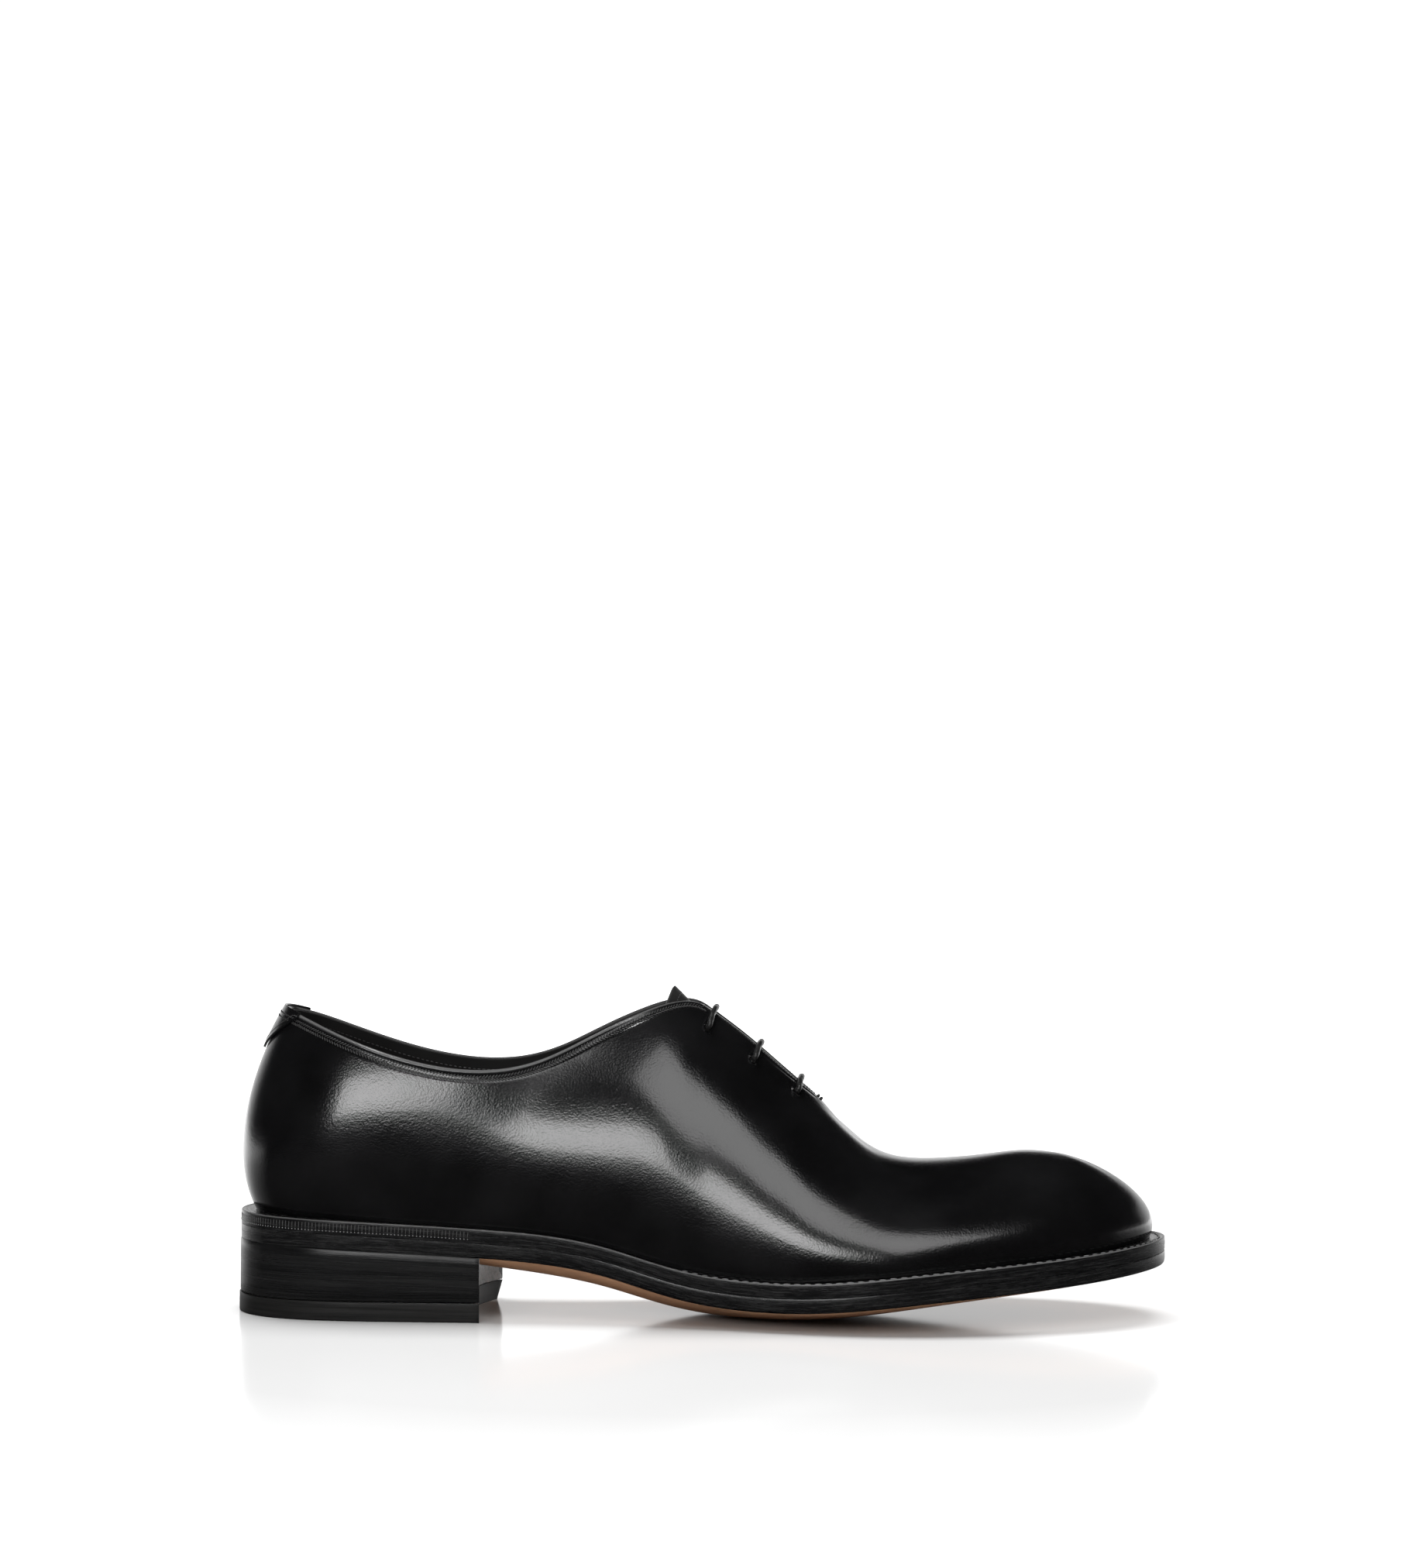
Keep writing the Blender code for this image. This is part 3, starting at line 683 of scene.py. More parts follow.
class Finish(Nodes):
    """A material with its principled shader, whose patterns lie on the piece itself."""

    def __init__(self, name, inputs):
        self.material = bpy.data.materials.new(name)
        self.material.use_nodes = True
        super().__init__(self.material.node_tree)
        self.shader = self.tree.nodes["Principled BSDF"]
        self.fill(self.shader, inputs)
        self.place = self.add("ShaderNodeTexCoord").outputs["Object"]

    def on_map(self, along, across):
        """The piece's own map, in metres along and across, stretched by the scales."""
        coordinates = self.add("ShaderNodeUVMap", uv_map="surface").outputs["UV"]
        inputs = {"Vector": coordinates, "Scale": (along, across, 1.0)}
        return self.add("ShaderNodeMapping", inputs).outputs["Vector"]

    def noise(self, scale, detail=3.0, roughness=0.55, vector=None, distortion=0.0):
        inputs = {"Vector": vector or self.place, "Scale": scale, "Detail": detail,
                  "Roughness": roughness, "Distortion": distortion}
        return self.add("ShaderNodeTexNoise", inputs).outputs["Fac"]

    def painted(self):
        """The paint mask that the piece's points carry: ink and the rasped breast, and the painted highlights
        on the welt's bead and the calf's collar edge.
        """
        return self.add("ShaderNodeAttribute", attribute_name="paint").outputs["Fac"]

    def inked(self, look):
        """Inked leather on a cut edge: its fibres, its streaks and its colour."""
        fibres = self.noise(1.0, 4.0, 0.65, self.on_map(260.0, 2300.0), 0.3)
        streaks = self.noise(1.0, 3.0, 0.6, self.on_map(60.0, 1100.0))
        share = self.between(self.times(fibres, streaks), 0.0, 1.0, 0.20, 0.48)
        return fibres, streaks, self.mix(share, colour(look.edge_colour), grey(0.026))

    def done(self, tone, rough, *layers):
        """Set colour, roughness and relief. Each layer of relief: height, depth in metres, strength."""
        self.fill(self.shader, {"Base Color": tone, "Roughness": rough})
        normal = {}
        for height, depth, strength in layers:
            inputs = {"Height": height, "Distance": depth, "Strength": strength, **normal}
            normal = {"Normal": self.add("ShaderNodeBump", inputs).outputs["Normal"]}
        self.fill(self.shader, normal)
        return self.material


def grey(value, warm=0.0):
    """A grey, made a little warmer by a share."""
    return (value * (1 + warm), value, value * (1 - warm), 1.0)


def colour(rgb, share=1.0):
    """A colour property, made lighter or darker by a share."""
    return (*(min(1.0, value * share) for value in rgb), 1.0)


def made_once(make):
    """Makes a finish at its first use and gives the same material to every later piece."""
    materials = {}

    def material(look, *tone):
        if tone not in materials:
            materials[tone] = make(look, *tone)
        return materials[tone]
    return material


@made_once
def calf(look):
    """Polished calf with fine grain, and a painted highlight: paler along the collar's top edge."""
    made = Finish("polished_calf", {"Specular IOR Level": 0.5, "Coat Weight": 0.30, "Coat Roughness": 0.10,
                                    "Coat IOR": 1.5})
    cloud = made.noise(38.0, 4.0)
    broad = made.noise(14.0, 2.0)
    grain = made.noise(1450.0, 3.0, 0.6)
    wrinkle = made.noise(420.0, 3.0, 0.5, distortion=0.4)
    pores = made.add("ShaderNodeTexVoronoi", {"Vector": made.place, "Scale": 1500.0}).outputs["Distance"]
    rough = made.sum(made.between(cloud, -0.03, 0.03, 0.3, 0.7), made.between(broad, 0.0, 0.03, 0.3, 0.7))
    pale = colour([value + 0.00055 for value in look.calf_colour], 1.8)
    tone = made.mix(made.between(cloud, 0.0, 1.0, 0.35, 0.75), colour(look.calf_colour), pale)
    # Painted highlight: where the paint mask is set, along the collar's top edge, the calf turns paler in
    # place of the bright line of light on that edge.
    tone = made.mix(made.times(made.painted(), 0.8), tone, grey(0.13))
    depth = look.grain_strength
    return made.done(tone, made.sum(rough, look.calf_roughness),
                     (wrinkle, 0.00008, depth * 0.5), (grain, 0.00005, depth), (pores, 0.00003, depth))


@made_once
def lining_leather(look):
    """Dull dark leather with a soft grain, for the lining and the tongue."""
    made = Finish("lining_leather", {"Specular IOR Level": 0.28})
    cloud = made.noise(45.0, 3.0)
    tone = made.mix(cloud, colour(look.lining_colour), grey(0.022, 0.02))
    return made.done(tone, made.between(cloud, 0.36, 0.50), (made.noise(900.0, 3.0, 0.6), 0.00008, 0.6))


@made_once
def sock_leather(look):
    """The leather sock that the foot stands on."""
    made = Finish("sock_leather", {"Specular IOR Level": 0.4})
    cloud = made.noise(30.0, 3.0)
    tone = made.mix(cloud, colour(look.sock_colour, 0.44), colour(look.sock_colour))
    return made.done(tone, made.between(cloud, 0.38, 0.55), (made.noise(700.0, 3.0, 0.6), 0.0001, 0.5))


@made_once
def edge_ink(look):
    """Inked leather seen on its cut edge: satin, with a painted highlight that makes the welt's bead paler.
    """
    made = Finish("inked_edge", {"Specular IOR Level": 0.3})
    fibres, streaks, ink = made.inked(look)
    # Painted highlight: paint between 1 and 2, on the welt's bead, turns the ink pale grey in place of the
    # bright line of light along the bead.
    tone = made.mix(made.between(made.painted(), 0.0, 1.0, 1.0, 2.0), ink, grey(0.11))
    return made.done(tone, made.between(streaks, 0.20, 0.30, 0.3, 0.7),
                     (fibres, 0.00010, 0.55), (made.noise(700.0, 2.0, 0.6), 0.00005, 0.4))


@made_once
def sole_leather(look):
    """Natural sole leather underneath, inked where the paint attribute says so."""
    made = Finish("sole_leather", {"Specular IOR Level": 0.45, "Coat Weight": 0.1, "Coat Roughness": 0.35})
    fibres, streaks, ink = made.inked(look)
    cloud = made.noise(30.0, 5.0, 0.6)
    share = made.between(cloud, 0.0, 1.0, 0.3, 0.7)
    raw = made.mix(share, colour(look.sole_colour), colour(look.sole_colour, 1.5))
    inked = made.between(made.painted(), 0.0, 1.0, 0.35, 0.65)
    rough = made.blend(inked, made.between(cloud, 0.42, 0.55), made.between(streaks, 0.20, 0.30, 0.3, 0.7))
    return made.done(made.mix(inked, raw, ink), rough,
                     (fibres, 0.00008, 0.5), (made.noise(900.0, 3.0, 0.6), 0.00005, 0.4))


@made_once
def heel_lifts(look):
    """Inked heel lifts, brushed along the heel, greyer on the rasped breast."""
    made = Finish("brushed_heel", {"Specular IOR Level": 0.3})
    lines = made.noise(1.0, 4.0, 0.7, made.on_map(28.0, 1900.0), 0.5)
    broad = made.noise(1.0, 3.0, 0.6, made.on_map(14.0, 320.0), 0.6)
    rasp = made.noise(1.0, 4.0, 0.65, made.on_map(420.0, 420.0), 0.8)
    breast = made.between(made.painted(), 0.0, 1.0, 0.9, 1.0)
    share = made.between(made.times(lines, broad), 0.0, 1.0, 0.15, 0.45)
    side = made.mix(share, colour(look.edge_colour), grey(0.016))
    front = made.mix(made.between(rasp, 0.0, 1.0, 0.3, 0.7), grey(0.16), grey(0.30, 0.01))
    return made.done(made.mix(breast, side, front), made.between(broad, 0.20, 0.30, 0.3, 0.7),
                     (lines, 0.00007, 0.6), (rasp, 0.00004, 0.25))


@made_once
def top_piece_rubber(look):
    """The top piece, a little duller than the lifts, with faint lines along its edge."""
    made = Finish("top_piece_rubber", {"Specular IOR Level": 0.25})
    lines = made.noise(1.0, 4.0, 0.7, made.on_map(24.0, 1300.0), 0.5)
    share = made.between(lines, 0.0, 1.0, 0.35, 0.7)
    tone = made.mix(share, colour(look.rubber_colour, 0.364), colour(look.rubber_colour))
    return made.done(tone, made.between(lines, 0.34, 0.46),
                     (lines, 0.00007, 0.5), (made.noise(1000.0, 2.0), 0.00005, 0.35))


@made_once
def waxed_cord(look):
    """Round plaited cord with a wax gloss."""
    made = Finish("waxed_cord", {"Specular IOR Level": 0.5, "Coat Weight": 0.25, "Coat Roughness": 0.25})
    inputs = {"Vector": made.on_map(900.0, 160.0), "Scale": 1.0, "Distortion": 0.6, "Detail": 1.0}
    plait = made.add("ShaderNodeTexWave", inputs, bands_direction="DIAGONAL").outputs["Fac"]
    fluff = made.noise(1600.0, 3.0, 0.6)
    tone = made.mix(plait, colour(look.lace_colour, 0.43), colour(look.lace_colour))
    return made.done(tone, made.between(fluff, 0.32, 0.5, 0.3, 0.7),
                     (plait, 0.00010, 0.6), (fluff, 0.00005, 0.4))


@made_once
def thread(look, tone=None):
    """Twisted thread in the seams' own colour, or in another shade of grey. The seams' grey is lighter than
    the black thread: a painted sheen.
    """
    made = Finish("thread" if tone is None else f"thread_{tone}",
                  {"Specular IOR Level": 0.5, "Coat Weight": 0.2, "Coat Roughness": 0.25})
    twist = made.noise(2600.0, 2.0)
    pale, share = (look.thread_tone_and_sheen, 0.25) if tone is None else (grey(tone)[:3], 0.6)
    return made.done(made.mix(twist, colour(pale, share), colour(pale)), made.between(twist, 0.3, 0.45),
                     (twist, 0.00004, 0.5))


# Sizes and colours that a user would change


def colour_property(name, description, *rgb):
    """A colour that a user can change."""
    return FloatVectorProperty(name=name, description=description, subtype="COLOR", size=3,
                               min=0.0, max=1.0, default=rgb)


def length_property(name, description, default, low, high):
    """A length that a user can change, between two limits."""
    return FloatProperty(name=name, description=description, unit="LENGTH",
                         default=default, min=low, max=high)


class OXFORD_PG_leather(bpy.types.PropertyGroup):
    """Colours and gloss of the shoe's materials."""

    calf_colour: colour_property("Calf", "Base colour of the calf upper", 0.0028, 0.0028, 0.0030)
    calf_roughness: FloatProperty(name="Calf roughness", description="How soft the calf's gloss is",
                                  default=0.165, min=0.05, max=0.9, subtype="FACTOR")
    grain_strength: FloatProperty(name="Grain", description="How deep the calf's grain looks",
                                  default=0.7, min=0.0, max=1.0, subtype="FACTOR")
    lining_colour: colour_property("Lining", "Base colour of the lining and tongue", 0.009, 0.0088, 0.0086)
    sock_colour: colour_property("Sock", "Colour of the leather sock inside", 0.0515, 0.05, 0.0485)
    edge_colour: colour_property("Edge ink", "Colour of the inked sole edge and heel", 0.0045, 0.0045, 0.0048)
    sole_colour: colour_property("Sole leather", "Colour of the natural underside", 0.34, 0.185, 0.105)
    rubber_colour: colour_property("Top piece", "Colour of the heel's top piece", 0.0224, 0.022, 0.0216)
    lace_colour: colour_property("Lace", "Colour of the waxed lace", 0.014, 0.014, 0.014)
    # The thread's grey is lighter than black: a painted sheen in place of the highlights on the black waxed
    # thread.
    thread_tone_and_sheen: colour_property("Thread", "Colour of the seams' thread", 0.055, 0.055, 0.055)


class OXFORD_PG_seams(bpy.types.PropertyGroup):
    """Sizes of the stitches and of the wheeled marks on the welt."""

    pitch: length_property("Stitch pitch", "From one seam stitch to the next", 0.00105, 0.0005, 0.005)
    length: length_property("Stitch length", "Visible length of a collar stitch", 0.00145, 0.0003, 0.004)
    width: length_property("Thread width", "Width of a collar stitch", 0.00046, 0.0001, 0.002)
    slant: FloatProperty(name="Stitch slant", description="Turn of each stitch from the seam's direction",
                         default=math.radians(38.0), min=-1.6, max=1.6, unit="ROTATION")
    welt_pitch: length_property("Welt pitch", "From one welt stitch to the next", 0.0034, 0.001, 0.01)
    wheel_pitch: length_property("Wheel pitch", "From one wheeled mark to the next", 0.00117, 0.0005, 0.005)
    seed: IntProperty(name="Seed", description="Seed of the small differences between stitches",
                      default=7, min=0)


class OXFORD_PG_stage(bpy.types.PropertyGroup):
    """The camera, the floor and the lights."""

    camera_height: length_property("Camera height", "Height of the camera over the floor", 0.184, 0.0, 3.0)
    camera_distance: length_property("Camera distance", "From the camera to the shoe", 1.4, 0.2, 10.0)
    focal_length: FloatProperty(name="Focal length", description="Focal length of the camera in millimetres",
                                default=97.61, min=10.0, max=400.0, unit="CAMERA")
    light_power: FloatProperty(name="Light power", description="Share of the usual light power",
                               default=1.0, min=0.0, max=10.0, subtype="FACTOR")
    floor_colour: colour_property("Floor", "Colour of the floor and of its glow", 0.93, 0.93, 0.93)


# Upper, lining, tongue and heel tab


def crease_relief(point):
    """Height of the soft creases and hollows, which lie in the calf on both sides."""
    height = np.zeros(point.shape[:-1])
    flat = point[..., [0, 2]] * 1000
    for _name, x0, z0, x1, z1, half, rise in CREASES:
        start, run = np.array([x0, z0]), np.array([x1 - x0, z1 - z0])
        share = ((flat - start) @ run) / (run @ run)
        aside = lengths(flat - start - np.clip(share, 0.0, 1.0)[..., None] * run)
        height += rise / 1000 * np.exp(-(aside / half) ** 2)
    return height


def edge_relief(place, down):
    """Height of the rolled top edge, the seam channels and the facing's raised line."""
    place = place[:, None]
    zones = {"collar": 1.0 - soft_step(place, 0.508, 0.517),
             "open edge": 1.0 - soft_step(place, 0.584, 0.592),
             "facing": soft_step(place, 0.508, 0.517) * (1.0 - soft_step(place, 0.582, 0.590))}
    height = np.zeros(down.shape)
    for zone, rise, at, half, square in EDGE_RELIEF:
        height += rise / 1000 * zones[zone] * np.exp(-((down * 1000 - at) / half) ** square)
    return height


def eyelet_relief(point):
    """The calf is pressed in a little round each eyelet."""
    height = np.zeros(point.shape[:-1])
    for _name, hole, _cross in LACE_BARS:
        for side in (OUTER, INNER):
            centre = off_upper(side, hole, EYELET_LEVEL, 0.0)[0][0]
            away = lengths(point - centre)
            height -= 0.00035 * np.exp(-(away / 0.0021) ** 2)
            height += 0.00012 * np.exp(-((away - 0.0027) / 0.0007) ** 2)
    return height


def even_out(places, down, point, normal):
    """Smooth the calf a little along the shoe where the facing runs into the vamp."""
    share = np.exp(-((places - THROAT_END - 0.004) / 0.022) ** 2)[:, None] * soft_step(down, 0.004, 0.012)
    smooth_point, smooth_normal = point.copy(), normal.copy()
    for _pass in range(160):
        for grid in (smooth_point, smooth_normal):
            grid[1:-1] += 0.5 * share[1:-1, :, None] * ((grid[:-2] + grid[2:]) / 2 - grid[1:-1])
    return smooth_point, unit(smooth_normal)


def make_upper(look):
    """The calf: a fine sheet on the outer face of the upper, with its relief, wall and eyelets."""
    places = path_places(FINE_PATH)
    run = edge_run(places)
    shell = Shell()
    for side in (OUTER, INNER):
        level, down = levels_down(side, places, rows_down(EDGE_ROWS, SIDE_ROWS))
        point, normal = upper_skin(side, places, level)
        point, normal = even_out(places, down, point, normal)
        fade = soft_step(down, 0.0, 0.004)
        height = edge_relief(places, down) + crease_relief(point) * fade + eyelet_relief(point)
        collar = (soft_step(places, 0.03, 0.05) * (1.0 - soft_step(places, 0.505, 0.515)))[:, None]
        # Mask of the painted highlight along the collar's top edge.
        collar_highlight = collar * np.exp(-((down - 0.0004) / 0.0005) ** 2)
        shell.grid(point + normal * height[..., None], run[:, None], down, flip=side == OUTER, paint=collar_highlight)
    item = new_object("calf_upper", shell.mesh("calf_upper", calf(look)))
    thicken(item, CALF_THICK, 0.0004)
    punch = new_object("eyelet_punch", punch_mesh())
    cut = item.modifiers.new("eyelets", "BOOLEAN")
    cut.operation = "DIFFERENCE"
    cut.solver = "MANIFOLD"
    cut.object = punch
    settle(item)
    bpy.data.objects.remove(punch, do_unlink=True)
    item.data.shade_smooth()
    dress(item, "calf", "upper")


def punch_mesh():
    """Six round punches through the facings, square to the calf."""
    edit = bmesh.new()
    for _name, hole, _cross in LACE_BARS:
        for side in (OUTER, INNER):
            centre, normal = off_upper(side, hole, EYELET_LEVEL, 0.0)
            turn = Vector(normal[0]).to_track_quat("Z", "Y").to_matrix().to_4x4()
            bmesh.ops.create_cone(edit, cap_ends=True, segments=28, radius1=EYELET_DIAMETER / 2,
                                  radius2=EYELET_DIAMETER / 2, depth=0.008,
                                  matrix=Matrix.Translation(centre[0]) @ turn)
    mesh = bpy.data.meshes.new("eyelet_punch")
    edit.to_mesh(mesh)
    edit.free()
    return mesh


def make_lining(look):
    """The lining inside the calf, a hair lower at the top edge, with its binding step."""
    places = path_places(LINING_PATH)
    run = edge_run(places)
    rows = rows_down(LINING_EDGE_ROWS, LINING_SIDE_ROWS, 0.0006)
    shell = Shell()
    for side in (OUTER, INNER):
        level, down = levels_down(side, places, rows)
        level[places >= THROAT_END, 0] = 1.0
        point, normal = upper_skin(side, places, level)
        binding = 0.00028 * (1.0 - soft_step(down, 0.0047, 0.0051)) * (places < THROAT_END)[:, None]
        inset = CALF_THICK + 0.00006 + LINING_THICK + binding
        shell.grid(point - normal * inset[..., None], run[:, None], down, flip=side == INNER)
    item = new_object("lining", shell.mesh("lining", lining_leather(look)))
    thicken(item, LINING_THICK, 0.00025, even=False)
    settle(item)
    item.data.shade_smooth()
    dress(item, "lining")


def tongue_rows():
    """Points of the tongue's outer face: rows from the throat's end up to its top edge."""
    inset = UPPER_WALL + TONGUE_GAP
    last, steps = 29, 44
    places = np.concatenate([np.linspace(THROAT_END + 0.027, TONGUE_CREST, last + 1),
                             np.linspace(TONGUE_CREST, TONGUE_END, steps - last)[1:]])
    levels = np.linspace(0.727, TONGUE_INNER_LEVEL, 14)
    rise = np.array([-1.0, 0.0, 1.0]) / math.sqrt(2)
    grids = []
    for side in (OUTER, INNER):
        point, normal = upper_skin(side, places, np.tile(levels, (steps, 1)))
        grids.append(point - normal * inset)
    middle = (grids[0][:, -1] + grids[1][:, -1]) / 2
    share = np.clip((TONGUE_CREST - places) / (TONGUE_CREST - TONGUE_END), 0.0, None)
    above = np.arange(steps) > last
    middle[above] = middle[last] + rise * (TONGUE_RISE * share[above])[:, None]
    rows = []
    bend = np.linspace(0, 1, 9)[1:-1]
    for i in range(steps):
        half = []
        for grid in grids:
            edge = grid[i, -1]
            shoulder = np.array([middle[i, 0], edge[1] * TONGUE_SHOULDER, middle[i, 2]])
            arch = [(edge * (1 - a) + shoulder * a) * (1 - a) + (shoulder * (1 - a) + middle[i] * a) * a
                    for a in bend]
            half.append(np.vstack([grid[i], arch]))
        rows.append(np.vstack([half[0], middle[i][None], half[1][::-1]]))
    return np.array(rows)


def make_tongue(look):
    """The tongue, which follows the facings from inside and arches up between them."""
    rows = tongue_rows()
    along, across = run_along(rows[:, rows.shape[1] // 2]), run_along(rows[-1])
    shell = Shell()
    shell.grid(rows, along[:, None], across[None, :])
    item = new_object("tongue_leather", shell.mesh("tongue_leather", lining_leather(look)))
    if item.data.polygons[len(item.data.polygons) // 2].normal.z < 0:
        item.data.flip_normals()
    thicken(item, TONGUE_THICK, 0.0004)
    settle(item)
    item.data.shade_smooth()
    dress(item, "lining", "tongue")


def tab_reach():
    """The widest place and the lowest level of the heel tab."""
    collar = lengths(off_upper(INNER, 0.1, 1.0, 0.0)[0] - off_upper(INNER, 0.0, 1.0, 0.0)[0])[0]
    back = lengths(off_upper(OUTER, 0.0, 1.0, 0.0)[0] - off_upper(OUTER, 0.0, 0.75, 0.0)[0])[0]
    return 0.1 * TAB_WIDTH / 2 / collar, 1.0 - 0.25 * TAB_DROP / back


def tab_foot(across):
    """The level of the tab's lower edge, from its point in the middle to its corners on the collar."""
    lowest = tab_reach()[1]
    return lowest + (1.0 - lowest) * (0.9 * abs(across) ** 1.15)


def make_heel_tab(look):
    """The tab wrapped over the top of the back seam."""
    widest = tab_reach()[0]
    steps = 36
    rows = []
    for i in range(-steps, steps + 1):
        across = i / steps
        side = OUTER if across < 0 else INNER
        foot = tab_foot(across)
        levels = foot + (1.0 - foot) * np.linspace(0, 1, 15)
        line = off_upper(side, np.full(15, abs(across) * widest), levels, SEAT_GAP + TAB_THICK)[0]
        rise = unit(line[-1] - line[-2]) * TAB_RISE
        rows.append(np.vstack([line, line[-1] + rise]))
    rows = np.array(rows)
    shell = Shell()
    along, down = np.linspace(-0.5, 0.5, len(rows)) * TAB_WIDTH, np.linspace(0, TAB_DROP, 16)
    shell.grid(rows, along[:, None], down[None, :])
    item = new_object("calf_heel_tab", shell.mesh("calf_heel_tab", calf(look)))
    if item.data.polygons[len(item.data.polygons) // 2].normal.x > 0:
        item.data.flip_normals()
    thicken(item, TAB_THICK, 0.00030)
    settle(item)
    item.data.shade_smooth()
    dress(item, "calf", "heel_tab")


# Sole and heel


def edge_point(side, place, inset, height, lift, breast=None):
    """Points on the edge of a sole layer, and how far across the sole they lie (-1 to 1)."""
    width = lengths(outline(INNER, place) - outline(OUTER, place))
    across = side * np.clip(1.0 - 2.0 * np.maximum(inset, 0.0) / np.maximum(width, 1e-6), 0.0, 1.0)
    flat = outline(side, place) - outward(side, place) * np.broadcast_to(inset, place.shape)[:, None]
    if breast:
        flat[:, 0] -= breast_shift(across, place, breast)
    return np.column_stack([flat, height(flat[:, 0], across) + lift]), across


def breast_shift(across, place, breast):
    """How far back the heel's hollow front lies, at its full depth at the last place."""
    hollow = BREAST_HOLLOW * (1.0 - across * across) - BREAST_SKEW * (1.0 + across) / 2
    return hollow * (place / breast) ** 4


def sole_layer(name, material, places, rings, top, bottom, across_steps, breast=None, cap_paint=(0.0, 0.0)):
    """A layer of the sole: rings from its top face over its edge to its bottom face, and two caps.

    Columns of rings: inset, height function, lift, paint.
    """
    shell = Shell()
    run = run_along(outline(OUTER, places))
    lines, shares = {}, {}
    for side in (OUTER, INNER):
        made = [edge_point(side, places, *ring[:3], breast) for ring in rings]
        lines[side] = np.stack([line for line, _across in made], 1)
        shares[side] = np.stack([across for _line, across in made], 1)
        down = run_along(lines[side][len(places) // 2])
        paint = np.stack([np.broadcast_to(ring[3], places.shape) for ring in rings], 1)
        start = 0.0 if side == INNER else 0.7
        shell.grid(lines[side], run[:, None] * side + start, down[None, :], paint=paint)
    share = np.linspace(0.0, 1.0, across_steps + 1)

    def spread(near, far):
        """Values that run evenly from the outer side's to the inner side's."""
        weight = share.reshape((1, -1) + (1,) * (near.ndim - 1))
        return near[:, None] * (1 - weight) + far[:, None] * weight

    def across_rows(chosen, at):
        """Rows from the outer to the inner side, bowed back like the heel's hollow front."""
        near, far = shares[OUTER][chosen], shares[INNER][chosen]
        rows, across = spread(lines[OUTER][chosen], lines[INNER][chosen]), spread(near, far)
        if breast:
            ends = spread(breast_shift(near, at, breast), breast_shift(far, at, breast))
            rows[..., 0] += ends - breast_shift(across, np.reshape(at, (-1, 1)), breast)
        return rows, across

    def lift_rows(chosen, rows, heights):
        """Give the rows their heights and make their ends meet the edge."""
        rows[..., 2] = heights
        rows[:, 0], rows[:, -1] = lines[OUTER][chosen], lines[INNER][chosen]

    for ring, height, paint in ((0, top, cap_paint[0]), (-1, bottom, cap_paint[1])):
        chosen = (slice(None), ring)
        rows, across = across_rows(chosen, places)
        lift_rows(chosen, rows, height(rows[..., 0], across) + rings[ring][2])
        shell.grid(rows, rows[..., 0], rows[..., 1], paint=paint)
    if breast:
        wall, across = across_rows(-1, breast)
        near = lines[OUTER][-1][:, 2]
        drop = ((near[0] - near) / (near[0] - near[-1]))[:, None]
        tops = top(wall[..., 0], across) + rings[0][2]
        bottoms = bottom(wall[..., 0], across) + rings[-1][2]
        lift_rows(-1, wall, tops * (1 - drop) + bottoms * drop)
        shell.grid(wall, wall[..., 1], wall[..., 2], paint=1.0)
    return shell.mesh(name, material, turn_out=True)


def place_of_breast():
    """The place on the outline where the heel's hollow front starts."""
    return math.acos(1.0 - 2.0 * HEEL_LENGTH / SOLE_LENGTH) / math.pi


def seam_share(places):
    """How open the seams between the layers of the edge look: round the heel they are filled."""
    return 0.4 * soft_step(places, 0.40, 0.47)


def make_welt(look):
    """The welt: its stitched groove, the bead along its edge and the filled seam under it."""
    places = np.linspace(0.0, 1.0, SOLE_STEPS)
    open_seam = seam_share(places)
    groove = -0.00022 * soft_step(places, 0.47, 0.51)
    bead = 0.00010
    rings = (
        (0.0052, welt_top, 0.0, 1.0), (0.0034, welt_top, 0.0, 1.0), (0.0026, welt_top, 0.0, 1.0),
        (0.0023, welt_top, groove, 1.0), (0.0016, welt_top, groove, 1.0), (0.0013, welt_top, 0.0, 1.0),
        # Paint above 1 on the bead's rings marks the bead's painted highlight.
        (0.0009, welt_top, bead, 1.0), (0.00055, welt_top, bead * 1.6, 1.2), (0.00025, welt_top, bead, 1.9),
        (0.00007, welt_top, -0.00006, 2.0), (0.0, welt_top, -0.00030, 1.0), (0.0, welt_top, -0.0010, 1.0),
        (-0.00006, welt_top, -0.0020, 1.0), (-0.00003, welt_top, -0.0031, 1.0),
        (0.00002 * open_seam, welt_top, -0.0038, 1.0),
        (0.00012 * open_seam, welt_top, -0.0041 - FILLED_SEAM, 1.0),
        (0.00004 + 0.0003 * open_seam, welt_top, -WELT_THICK - FILLED_SEAM, 1.0),
        (0.0030, welt_top, -WELT_THICK, 1.0),
    )
    mesh = sole_layer("welt_edge", edge_ink(look), places, rings, welt_top,
                      lambda x, across: welt_bottom(x, across) + WELT_THICK, 10, cap_paint=(1.0, 1.0))
    dress(crisp(new_object("welt_edge", mesh)), "edge", "welt")


